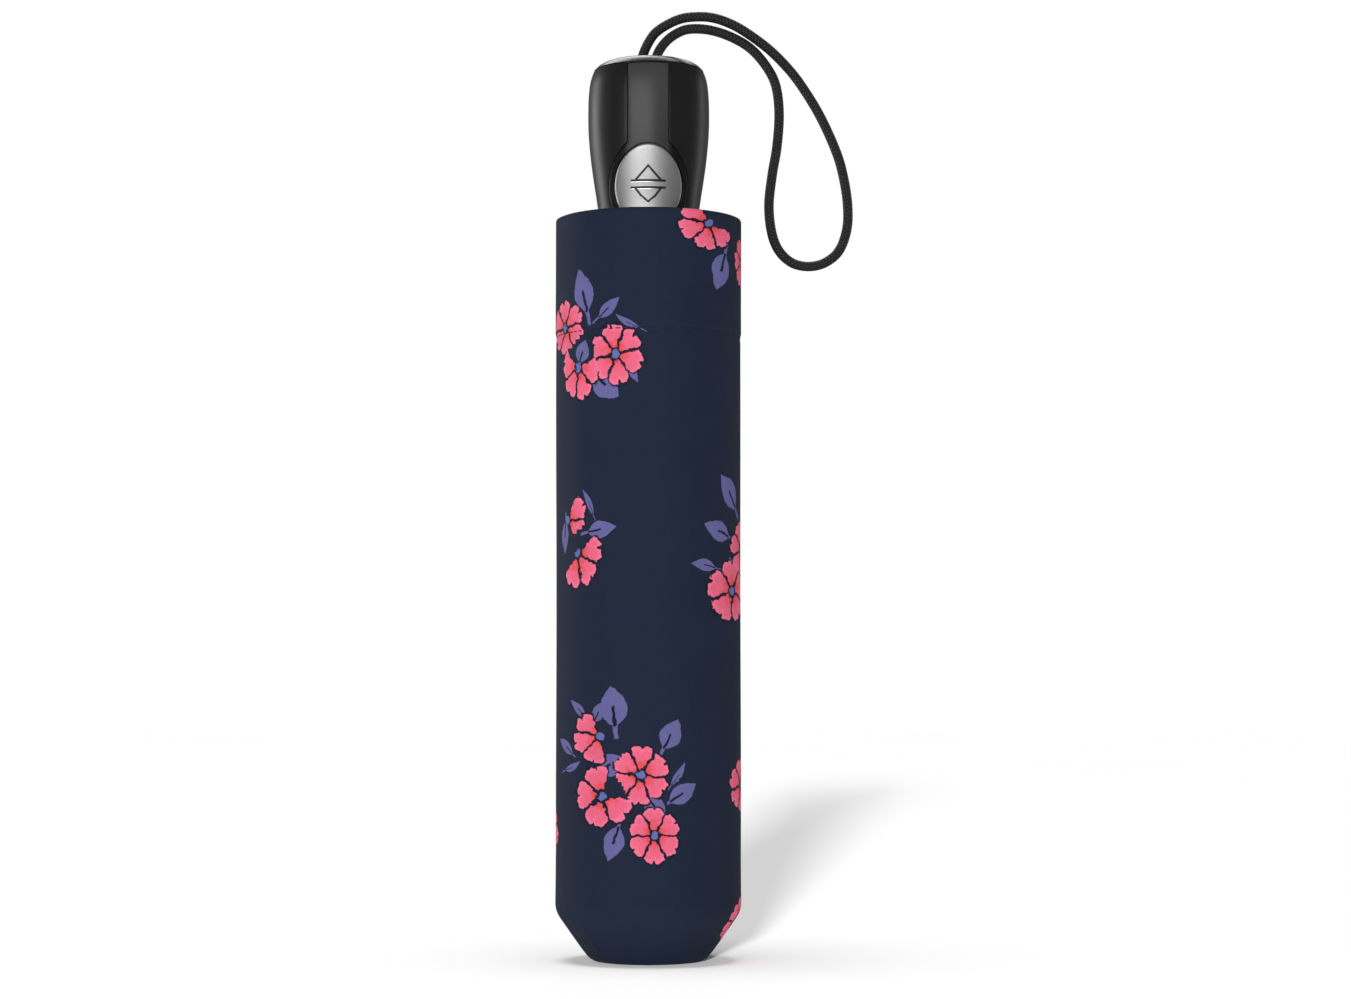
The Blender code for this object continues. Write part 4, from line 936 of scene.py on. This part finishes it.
PLEATS = 8
PLEAT_STEPS = np.array(
    [0.0, 0.02, 0.05, 0.10, 0.2, 0.3, 0.4, 0.5, 0.6, 0.7, 0.78, 0.85, 0.90, 0.94, 0.965, 0.98, 0.99]
)
PLEAT_DEPTH = 1.25 * MM
CANOPY_RADIUS = canopy_high[0]
CANOPY_BORE = 17.9 * MM
CANOPY_TWIST = math.radians(34.0)
CONE_RADIUS = 16.0 * MM
CONE_LOW_Z = canopy_low[2]
CONE_HIGH_Z = 17.4 * MM
HEM_INNER = 10.2 * MM
FOLDED_LAYERS = 3


def build_canopy():
    outline = [(HEM_INNER, CONE_LOW_Z + 3.0 * MM), (CONE_RADIUS - 0.5 * MM, CONE_LOW_Z + 0.2 * MM)]
    outline += [(CANOPY_RADIUS, CONE_HIGH_Z), (CANOPY_RADIUS, canopy_high[2])]
    outer = path_rows(softened(outline, 2.0 * MM), 1.6 * MM)
    top = canopy_high[2]
    layers = []
    for step in range(FOLDED_LAYERS):
        edge = CANOPY_RADIUS - (0.9 + 1.9 * step) * MM
        layers += [(edge, top - 0.1 * MM - step * MM), (edge - 0.35 * MM, top - (4.5 + step) * MM)]
        layers += [(edge - 0.8 * MM, top - (4.5 + step) * MM), (edge - 1.1 * MM, top - (1.1 + step) * MM)]
    inside = [(CANOPY_BORE, top - 4.0 * MM), (CANOPY_BORE, 31.0 * MM), (HEM_INNER, 10.7 * MM)]
    path = np.concatenate([outer, np.array(layers), path_rows(inside, 6.0 * MM)])
    outer_rows = len(outer)
    steps = len(PLEAT_STEPS)
    phase = np.tile(PLEAT_STEPS, PLEATS)
    pleat = np.repeat(np.arange(PLEATS), steps)
    angles = (pleat + phase) * 2 * math.pi / PLEATS - math.pi
    phase_grid, radius = np.meshgrid(phase, path[:, 0])
    pleat_grid = np.broadcast_to(pleat, radius.shape)
    height = np.repeat(path[:, 1][:, None], len(phase), axis=1)
    twist = CANOPY_TWIST * (height - CONE_LOW_Z) / (top - CONE_LOW_Z)
    turn = angles[None, :] + twist
    rise = smoothstep(phase_grid, 0.0, 0.30)
    fold = 0.35 * smoothstep(phase_grid, 0.93, 1.0)
    share = np.zeros(radius.shape)
    share[:outer_rows] = smoothstep(path[:outer_rows, 0], HEM_INNER, CONE_RADIUS * 1.2)[:, None]
    share[outer_rows:] = 0.35 * smoothstep(path[outer_rows:, 0], CANOPY_BORE, CANOPY_BORE + 4 * MM)[:, None]
    relief = -PLEAT_DEPTH * (1.0 - rise + fold)
    slack = np.sin(height / (21.0 * MM) + 2.1 * pleat_grid) * np.sin(math.pi * phase_grid)
    wrinkle = np.sin(height / (7.0 * MM) + 5.0 * phase_grid + 1.3 * pleat_grid)
    relief += (0.22 * slack + 0.07 * wrinkle * np.sin(math.pi * phase_grid)) * MM
    strap_z = (strap_low[2] + strap_high[2]) / 2
    pinch = np.exp(-(((height - strap_z) / (13.0 * MM)) ** 2))
    relief -= 0.45 * MM * pinch
    radius = radius + relief * share
    hem_dip = 3.2 * MM * (1.0 - np.sin(math.pi * np.clip(phase_grid, 0, 1)) ** 0.7)
    near_top = smoothstep(height, top - 30 * MM, top)
    near_top[outer_rows + len(layers):] = 0.0
    height = height - hem_dip * near_top
    along = distance_along(path)
    points = turned_points(turn, radius, height)
    mesh, spin, up, face = grid_solid("rolled_canopy", points, angles, along, ring=True)
    girth = 2 * math.pi * CANOPY_RADIUS
    printed = np.bincount(face, up) / np.bincount(face) < along[outer_rows + 1]
    lay_print(mesh, CANOPY_PRINT, (spin * CANOPY_RADIUS, up, face), printed, girth)
    canopy = add_mesh("rolled_canopy", mesh, 50)
    paint(canopy, finishes["printed_cloth"])
    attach(canopy, "umbrella_frame")
    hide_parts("canopy")


STRAP_COLUMNS = 180
STRAP_LAP_START = math.radians(118.0)
STRAP_LAP_END = math.radians(196.0)
STRAP_LAP = 0.3 * MM
STRAP_WAVE = 0.25 * MM


def strap_radius(angle):
    """The strap's outer face, with its end lapped over its start under the snap."""
    turned = np.mod(angle, 2 * math.pi)
    lap = smoothstep(turned, STRAP_LAP_START, STRAP_LAP_START + 0.02)
    lap = lap * (1.0 - smoothstep(turned, STRAP_LAP_END, STRAP_LAP_END + 0.05))
    return strap_high[0] - 0.02 * MM + STRAP_LAP * lap


def build_strap():
    low, high = strap_low[2] + 0.1 * MM, strap_high[2] - 0.1 * MM
    inner = strap_high[0] - 0.78 * MM
    angles = np.arange(STRAP_COLUMNS) * 2 * math.pi / STRAP_COLUMNS - math.pi
    outer = strap_radius(angles)
    rows = [(0.25, low), (0.9, low + 0.25 * MM), (1.0, low + 0.8 * MM), (0.88, low + 1.5 * MM)]
    rows += [(1.0, low + 2.3 * MM), (1.05, (low + high) / 2), (1.0, high - 2.3 * MM)]
    rows += [(0.88, high - 1.5 * MM), (1.0, high - 0.8 * MM), (0.9, high - 0.25 * MM), (0.25, high)]
    rows += [(0.0, high - 0.4 * MM), (0.0, low + 0.4 * MM)]
    share = np.array([row[0] for row in rows])[:, None]
    height = np.array([row[1] for row in rows])[:, None] + STRAP_WAVE * np.sin(2 * angles)[None, :]
    radius = inner + (outer[None, :] - inner) * share
    points = turned_points(np.broadcast_to(angles, radius.shape), radius, height)
    along = np.array([row[1] for row in rows])
    mesh, spin, up, face = grid_solid("tie_strap_band", points, angles, along, ring=True)
    lay_cloth_map(mesh, (spin * inner, up, face))
    strap = add_mesh("tie_strap_band", mesh, 50)
    paint(strap, finishes["plain_cloth"])
    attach(strap, "umbrella_frame")
    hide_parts("tie_strap")
    turns = np.linspace(-math.pi, math.pi, 241)[:-1]
    lines = []
    for edge in (low + 1.5 * MM, high - 1.5 * MM):
        line_z = edge + STRAP_WAVE * np.sin(2 * turns)
        lines.append((turned_points(turns, strap_radius(turns) - 0.03 * MM, line_z), True))
    stitches = sew("strap_stitching", lines, Spacing=2.1 * MM, Length=1.6 * MM, Radius=0.13 * MM)
    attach(stitches, "umbrella_frame")


# ---------------------------------------------------------------- handle, panel and button

# The handle's outline: height above the sleeve's rim and radius, in millimetres.
HANDLE_OUTLINE = [
    (-15.0, 14.6), (0.0, 15.3), (6.0, 16.0), (12.5, 17.0), (20.0, 18.0),
    (28.0, 18.65), (36.0, 18.7), (41.0, 18.4), (44.0, 17.9), (46.5, 17.0),
]
handle_line = np.array([tuple(p) for p in curve_through([(*p, 0.0) for p in HANDLE_OUTLINE], 8)])[:, :2]
HANDLE_BORE = 12.5
RIM_MM = RIM_Z / MM
BODY_TURN_STEP = 3.0
PATCH_TURN = 75.0
BODY_ROWS = np.linspace(RIM_MM - 15.0, RIM_MM + 46.5, 42)
PANEL_TOP = RIM_MM + 46.2
PANEL_STRIP_HALF = 6.2
BUTTON_MIDDLE = RIM_MM + 8.7
RING_HALVES = (12.0, 15.1)
BUTTON_HALVES = (10.2, 12.3)
BUTTON_RIM = 1.1
BUTTON_PROUD = 0.4
PANEL_GAP = 0.16
BUTTON_GAP = 0.32
PANEL_DEPTH = 1.2
RECESS_DEPTH = 1.5
BUTTON_RIM_DROP = 0.6
BUTTON_SHELL = 0.9
LOOP_SPACING = 0.7
LOOP_CLEARANCE = 0.55
OVAL_POINTS = 110
RING_POINTS = 120
# How far each edge is rounded over.
BODY_EDGE = 0.24
PANEL_EDGE = 0.20
PANEL_HOLE_EDGE = 0.30
BUTTON_EDGE = 0.5
# The cup behind the button: radius and place from front to back, outside and then inside.
CUP_PROFILE = ((3.8, -13.5), (3.8, -12.05), (2.9, -12.05), (2.9, -13.5))
CUP_POINTS = 40
CUP_DROP_SHARE = 0.35


def handle_radius(z):
    """The handle's outer radius at a height, both in millimetres."""
    return np.interp(z, handle_line[:, 0] + RIM_MM, handle_line[:, 1])


def bore_radius(z):
    return np.full(np.shape(z), HANDLE_BORE)


def lifted(points, radius_at, depth=0.0):
    """Places (x, z) points, in millimetres, on the front of a turned form, depth below its face."""
    x, z = np.asarray(points, float).T
    radius = radius_at(z) - depth
    return np.stack([x, -np.sqrt(np.maximum(radius**2 - x**2, 0.0)), z], axis=1) * MM


def ellipse_loop(halves, grow=0.0):
    turns = (np.arange(OVAL_POINTS) + 0.5) * 2 * math.pi / OVAL_POINTS
    x = (halves[0] + grow) * np.cos(turns)
    return np.stack([x, BUTTON_MIDDLE + (halves[1] + grow) * np.sin(turns)], axis=1)


def panel_loop():
    """A strip down the front that widens into a ring round the button."""
    meet = math.asin(math.sqrt(1.0 - (PANEL_STRIP_HALF / RING_HALVES[0]) ** 2))
    turns = np.linspace(meet, meet - 2 * meet - math.pi, RING_POINTS)
    ring = [(RING_HALVES[0] * math.cos(a), BUTTON_MIDDLE + RING_HALVES[1] * math.sin(a)) for a in turns]
    right_top, left_top = (PANEL_STRIP_HALF, PANEL_TOP), (-PANEL_STRIP_HALF, PANEL_TOP)
    outline = [right_top, *ring, left_top, right_top]
    return spaced([Vector((*p, 0.0)) for p in outline], LOOP_SPACING)[:-1, :2]


def offset_loop(loop, distance):
    """The loop moved outwards by the distance. Moving in is negative."""
    along = np.roll(loop, -1, axis=0) - np.roll(loop, 1, axis=0)
    area = np.sum(loop[:, 0] * np.roll(loop[:, 1], -1) - np.roll(loop[:, 0], -1) * loop[:, 1])
    normal = np.stack([along[:, 1], -along[:, 0]], axis=1) * np.sign(area)
    return loop + distance * normal / np.linalg.norm(normal, axis=1)[:, None]


def inside_loop(points, loop):
    x, z = points[:, 0][:, None], points[:, 1][:, None]
    ax, az = loop[:, 0], loop[:, 1]
    bx, bz = np.roll(ax, -1), np.roll(az, -1)
    straddles = (az > z) != (bz > z)
    crossing = ax + (z - az) * (bx - ax) / np.where(bz == az, 1e-12, bz - az)
    return (np.sum(straddles & (x < crossing), axis=1) % 2).astype(bool)


def loop_distance(points, loop):
    return np.min(np.linalg.norm(points[:, None, :] - loop[None, :, :], axis=2), axis=1)


def band(first, second):
    """Quads between two closed rings of points."""
    count = len(first)
    return [(first[k], first[(k + 1) % count], second[(k + 1) % count], second[k]) for k in range(count)]


def rounded_edge(loop, radius_at, inwards, round_over, depth=0.0):
    """A bevelled edge along a loop. Returns its faces, the loop that it ends on and its lowest ring."""
    faces = []
    rings = []
    for step in range(5):
        turn = math.pi / 2 * step / 4
        moved = offset_loop(loop, -inwards * round_over * (1.0 - math.cos(turn)))
        rings.append((moved, lifted(moved, radius_at, depth + round_over * (1.0 - math.sin(turn)))))
    for (_, low), (_, high) in zip(rings, rings[1:]):
        faces += band(low, high)
    return faces, rings[-1][0], rings[0][1]


def skin(radius_at, depth, outside, holes, whole_patch=False):
    """Faces of a turned form's front between an outer loop and holes.

    whole_patch takes in all of the front patch, where it needs no outer loop.
    """
    turns = np.radians(np.arange(-PATCH_TURN, PATCH_TURN + 0.1, BODY_TURN_STEP))
    loops = [*holes] if whole_patch else [outside, *holes]
    turn_grid, z_grid = np.meshgrid(turns, BODY_ROWS)
    reach = radius_at(z_grid) - depth
    grid = np.stack([(reach * np.sin(turn_grid)).ravel(), z_grid.ravel()], axis=1)
    grid_turn = turn_grid.ravel()
    keep = np.ones(len(grid), bool)
    for loop in loops:
        keep &= loop_distance(grid, loop) > LOOP_CLEARANCE
    for hole in holes:
        keep &= ~inside_loop(grid, hole)
    if not whole_patch:
        keep &= inside_loop(grid, outside)
    scale = HANDLE_BORE

    def flat(points):
        bow = np.clip(points[:, 0] / (radius_at(points[:, 1]) - depth), -1.0, 1.0)
        return np.stack([np.arcsin(bow) * scale, points[:, 1]], axis=1)

    places = [np.stack([grid_turn[keep] * scale, grid[keep][:, 1]], axis=1)]
    edges = []
    start = len(places[0])
    for loop in loops:
        count = len(loop)
        places.append(flat(loop))
        edges += [(start + k, start + (k + 1) % count) for k in range(count)]
        start += count
    corners = [Vector(p) for p in np.concatenate(places)]
    found, _, triangles, *_ = delaunay_2d_cdt(corners, edges, [], 0, 1e-6)
    found = np.array([tuple(p) for p in found])
    spot = np.array([found[list(t)].mean(axis=0) for t in triangles])
    wanted = np.ones(len(triangles), bool)
    for hole in holes:
        wanted &= ~inside_loop(spot, flat(hole))
    if not whole_patch:
        wanted &= inside_loop(spot, flat(outside))
    radius = radius_at(found[:, 1]) - depth
    turn = found[:, 0] / scale
    solid = np.stack([radius * np.sin(turn), -radius * np.cos(turn), found[:, 1]], axis=1) * MM
    return [tuple(solid[i] for i in t) for t, want in zip(triangles, wanted) if want]


def solid_from(name, faces, smooth_degrees=32):
    """One closed body from loose faces given by their corners."""
    vertices = [tuple(p) for face in faces for p in face]
    indices = []
    start = 0
    for face in faces:
        indices.append(tuple(range(start, start + len(face))))
        start += len(face)
    mesh = bpy.data.meshes.new(name)
    mesh.from_pydata(vertices, [], indices)
    bm = bmesh.new()
    bm.from_mesh(mesh)
    bmesh.ops.remove_doubles(bm, verts=bm.verts, dist=2e-6)
    bmesh.ops.recalc_face_normals(bm, faces=bm.faces)
    bm.to_mesh(mesh)
    bm.free()
    return add_mesh(name, mesh, smooth_degrees)


def body_back(radius_at):
    """The rest of a turned form, round the back from one side of the front patch to the other."""
    turns = np.radians(np.arange(PATCH_TURN, 360.0 - PATCH_TURN + 0.1, BODY_TURN_STEP))
    turn, z = np.meshgrid(turns, BODY_ROWS)
    points = turned_points(turn, radius_at(z) * MM, z * MM)
    faces = []
    for row in range(len(BODY_ROWS) - 1):
        for k in range(len(turns) - 1):
            faces.append((points[row, k], points[row, k + 1], points[row + 1, k + 1], points[row + 1, k]))
    return faces


def body_end(z):
    turns = np.radians(np.arange(-PATCH_TURN, 360.0 - PATCH_TURN - 0.1, BODY_TURN_STEP))
    height = np.full(len(turns), z * MM)
    outer = turned_points(turns, np.full(len(turns), float(handle_radius(z))) * MM, height)
    inner = turned_points(turns, np.full(len(turns), HANDLE_BORE) * MM, height)
    return band(outer, inner)


def build_handle_body():
    opening = offset_loop(panel_loop(), PANEL_GAP)
    hole = ellipse_loop(BUTTON_HALVES, BUTTON_RIM + BUTTON_GAP)
    faces, edge, low_ring = rounded_edge(opening, handle_radius, -1.0, BODY_EDGE)
    faces += skin(handle_radius, 0.0, None, [edge], whole_patch=True)
    faces += body_back(handle_radius)
    faces += band(low_ring, lifted(opening, handle_radius, RECESS_DEPTH))
    faces += skin(handle_radius, RECESS_DEPTH, opening, [hole])
    faces += band(lifted(hole, handle_radius, RECESS_DEPTH), lifted(hole, bore_radius))
    faces += skin(bore_radius, 0.0, None, [hole], whole_patch=True)
    faces += body_back(bore_radius)
    faces += body_end(BODY_ROWS[0]) + body_end(BODY_ROWS[-1])
    body = solid_from("moulded_handle", faces)
    paint(body, finishes["satin_handle"])
    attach(body, "handle")
    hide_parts("handle_body")


def build_panel():
    outer = panel_loop()
    hole = ellipse_loop(BUTTON_HALVES, BUTTON_GAP)
    faces, outer_edge, outer_low = rounded_edge(outer, handle_radius, 1.0, PANEL_EDGE)
    hole_faces, hole_edge, hole_low = rounded_edge(hole, handle_radius, -1.0, PANEL_HOLE_EDGE)
    faces += hole_faces
    faces += skin(handle_radius, 0.0, outer_edge, [hole_edge])
    faces += band(outer_low, lifted(outer, handle_radius, PANEL_DEPTH))
    faces += band(hole_low, lifted(hole, handle_radius, PANEL_DEPTH))
    faces += skin(handle_radius, PANEL_DEPTH, outer, [hole])
    panel = solid_from("gloss_panel", faces)
    paint(panel, finishes["panel"])
    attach(panel, "handle")
    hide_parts("front_panel")


def build_button():
    rim_depth = PANEL_DEPTH + BUTTON_RIM_DROP
    back_depth = rim_depth + BUTTON_SHELL
    loop = ellipse_loop(BUTTON_HALVES)
    rim = ellipse_loop(BUTTON_HALVES, BUTTON_RIM)
    faces, edge, low_ring = rounded_edge(loop, handle_radius, 1.0, BUTTON_EDGE, -BUTTON_PROUD)
    faces += skin(handle_radius, -BUTTON_PROUD, edge, [])
    faces += band(low_ring, lifted(loop, handle_radius, rim_depth))
    faces += band(lifted(loop, handle_radius, rim_depth), lifted(rim, handle_radius, rim_depth))
    faces += band(lifted(rim, handle_radius, rim_depth), lifted(rim, handle_radius, back_depth))
    faces += skin(handle_radius, back_depth, rim, [])
    cup_z = BUTTON_MIDDLE - CUP_DROP_SHARE * BUTTON_HALVES[1]
    turns = np.arange(CUP_POINTS) * 2 * math.pi / CUP_POINTS
    cup = []
    for radius, y in CUP_PROFILE:
        x = radius * np.cos(turns)
        cup.append(np.stack([x, np.full(CUP_POINTS, y), cup_z + radius * np.sin(turns)], axis=1) * MM)
    for first, second in zip(cup, [*cup[1:], cup[0]]):
        faces += band(first, second)
    button = solid_from("silver_push_button", faces)
    paint(button, finishes["brushed_silver"])
    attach(button, "button")
    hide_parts("push_button")


# The open and close marks, as lines from corner to corner: x, and height from the button's middle.
MARK_LINES = [
    ((-4.0, 1.3), (0.0, 5.7)), ((0.0, 5.7), (4.0, 1.3)), ((-5.1, 1.3), (5.1, 1.3)),
    ((-5.1, -0.8), (5.1, -0.8)), ((-4.0, -0.8), (-2.2, -3.2)), ((-2.2, -3.2), (0.0, -5.1)),
    ((0.0, -5.1), (2.2, -3.2)), ((2.2, -3.2), (4.0, -0.8)),
]


def build_marks(name, half_width, drop, painted_light_to_top, finish):
    """Thin inlaid bars that follow the button's face: the marks' ink, or a painted highlight along their
    edges.
    """
    faces = []
    for start, end in MARK_LINES:
        a, b = np.array(start), np.array(end)
        along = (b - a) / np.linalg.norm(b - a)
        side = np.array([-along[1], along[0]]) * half_width
        a, b = a - along * half_width * 0.8, b + along * half_width * 0.8
        middle = np.linspace(0.0, 1.0, 9)[:, None] * (b - a) + a + (0.0, BUTTON_MIDDLE - drop)
        top = [lifted(middle + s, handle_radius, -BUTTON_PROUD - painted_light_to_top) for s in (side, -side)]
        low = [lifted(middle + s, handle_radius, -BUTTON_PROUD + 0.06) for s in (side, -side)]
        rings = [(top[0][k], top[1][k], low[1][k], low[0][k]) for k in range(9)]
        for first, second in zip(rings, rings[1:]):
            faces += band(first, second)
        faces += [rings[0], rings[-1]]
    marks = solid_from(name, faces)
    paint(marks, finishes[finish])
    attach(marks, "button")


# ---------------------------------------------------------------- kept frame parts

KEPT_FINISHES = {
    "tip_cap": "cap", "crown": "hub_plastic", "crown_wire": "wire", "runner": "hub_plastic",
    "runner_wire": "wire", "upper_tube": "bright_tube", "spring_seat": "housing_plastic",
    "opening_spring": "wire", "strap_snap": "bright_tube", "middle_tube": "bright_tube",
    "outer_tube": "bright_tube", "tube_pin": "wire", "spring_plug": "housing_plastic",
    "mechanism_housing": "housing_plastic", "end_cap": "cap", "cord_eyelet": "hub_plastic",
    "button_spring": "wire", "catch_pin": "wire",
}
WELD_DISTANCE = 1e-6
REAL_EDGE_ANGLE = math.radians(28.0)


def smooth_group():
    """Shades a part smooth except along its real edges."""
    tree = bpy.data.node_groups.new("smooth_by_angle", "GeometryNodeTree")
    tree.interface.new_socket("Geometry", in_out="INPUT", socket_type="NodeSocketGeometry")
    tree.interface.new_socket("Geometry", in_out="OUTPUT", socket_type="NodeSocketGeometry")
    given = tree.nodes.new("NodeGroupInput").outputs["Geometry"]
    weld = wired(tree, "GeometryNodeMergeByDistance", {"Geometry": given, "Distance": WELD_DISTANCE})
    faces = wired(tree, "GeometryNodeSetShadeSmooth", {"Geometry": weld.outputs["Geometry"]})
    angle = wired(tree, "GeometryNodeInputMeshEdgeAngle", {}).outputs["Unsigned Angle"]
    real_edge = wired(tree, "FunctionNodeCompare", {0: angle, 1: REAL_EDGE_ANGLE}, operation="GREATER_THAN")
    sharp = {
        "Geometry": faces.outputs["Geometry"],
        "Selection": real_edge.outputs["Result"],
        "Shade Smooth": False,
    }
    edges = wired(tree, "GeometryNodeSetShadeSmooth", sharp, domain="EDGE")
    wired(tree, "NodeGroupOutput", {"Geometry": edges.outputs["Geometry"]})
    return tree


def finish_kept_parts():
    smoothing = smooth_group()
    for name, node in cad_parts.items():
        finish = KEPT_FINISHES.get(name, "dark_rib" if "rib" in name or "stretcher" in name else None)
        if finish is None:
            continue
        for material_slot in node.material_slots:
            material_slot.material = finishes[finish]
        node.modifiers.new("smooth", "NODES").node_group = smoothing


# ---------------------------------------------------------------- studio

FLOOR_REACH = 6.0
FLOOR_DROP = 0.05 * MM
SEEN_WORLD = 1.0
LIGHTING_WORLD = 0.20
LIGHT_AIM = (0.0, 0.0, 0.13)
# Lights that leave the floor out: name, place, size in metres and power in watts.
SOFTBOXES = [
    ("left_softbox", (-0.92, 0.55, 0.24), (0.35, 0.9), 3.8),
    ("front_softbox", (-0.38, -1.50, 0.35), (1.3, 0.9), 12.0),
    ("top_softbox", (-0.05, 0.50, 0.85), (0.6, 0.4), 2.6),
    ("right_rim", (0.9, 0.55, 0.30), (0.2, 0.8), 0.9),
]
# Suns on the floor alone: name, heading, strength and spread in degrees.
FLOOR_SUNS = [
    ("floor_sweep", (0.09, 1.0, -0.155), 8.8, 4.0),
    ("floor_overhead", (0.05, 0.05, -1.0), 1.75, 30.0),
]


def area_light(name, place, size, power, not_floor):
    light = bpy.data.lights.new(name, "AREA")
    light.shape = "RECTANGLE"
    light.size, light.size_y = size
    light.energy = power
    lamp = bpy.data.objects.new(name, light)
    lamp.location = place
    lamp.rotation_euler = (Vector(LIGHT_AIM) - Vector(place)).to_track_quat("-Z", "Y").to_euler()
    lamp.light_linking.receiver_collection = not_floor
    bpy.context.scene.collection.objects.link(lamp)


def build_studio():
    floor_mesh = bpy.data.meshes.new("floor")
    corners = [(FLOOR_REACH * x, FLOOR_REACH * y, 0) for x, y in ((-1, -1), (1, -1), (1, 1), (-1, 1))]
    floor_mesh.from_pydata(corners, [], [(0, 1, 2, 3)])
    floor = bpy.data.objects.new("floor", floor_mesh)
    floor.location.z = cad_low[2] - FLOOR_DROP
    bpy.context.scene.collection.objects.link(floor)
    pale = Finish("pale_floor", 0.6)
    pale.colour(pale.mix(pale.noise(3.0), (0.93, 0.93, 0.93), (0.95, 0.95, 0.95)))
    floor_mesh.materials.append(pale.material)
    floor.visible_glossy = False

    bpy.context.scene.view_settings.view_transform = "Standard"
    world = bpy.data.worlds.new("studio")
    bpy.context.scene.world = world
    world.use_nodes = True
    tree = world.node_tree
    back = tree.nodes["Background"]
    seen = tree.nodes.new("ShaderNodeLightPath").outputs["Is Camera Ray"]
    tint = tree.nodes.new("ShaderNodeMapRange")
    tint.inputs["To Min"].default_value = LIGHTING_WORLD
    tint.inputs["To Max"].default_value = SEEN_WORLD
    tree.links.new(seen, tint.inputs["Value"])
    tree.links.new(tint.outputs["Result"], back.inputs["Strength"])
    back.inputs["Color"].default_value = (1.0, 1.0, 1.0, 1.0)

    ground = bpy.data.collections.new("ground")
    ground.objects.link(floor)
    not_floor = bpy.data.collections.new("not_floor")
    not_floor.objects.link(floor)
    not_floor.collection_objects[0].light_linking.link_state = "EXCLUDE"
    for name, place, size, power in SOFTBOXES:
        area_light(name, place, size, power, not_floor)
    for name, heading, power, spread in FLOOR_SUNS:
        sun = bpy.data.lights.new(name, "SUN")
        sun.energy = power
        sun.angle = math.radians(spread)
        lamp = bpy.data.objects.new(name, sun)
        lamp.rotation_euler = Vector(heading).to_track_quat("-Z", "Y").to_euler()
        lamp.light_linking.receiver_collection = ground
        bpy.context.scene.collection.objects.link(lamp)


# ---------------------------------------------------------------- build

build_studio()
build_cord()
finish_kept_parts()
build_sleeve()
build_canopy()
build_strap()
build_handle_body()
build_panel()
build_button()
build_marks("button_marks", 0.33, 0.0, 0.03, "mark_ink")
# Bright bars just below the marks: a painted highlight on the marks' lower edges.
build_marks("button_mark_painted_highlights", 0.11, 0.34, 0.012, "painted_mark_highlight")
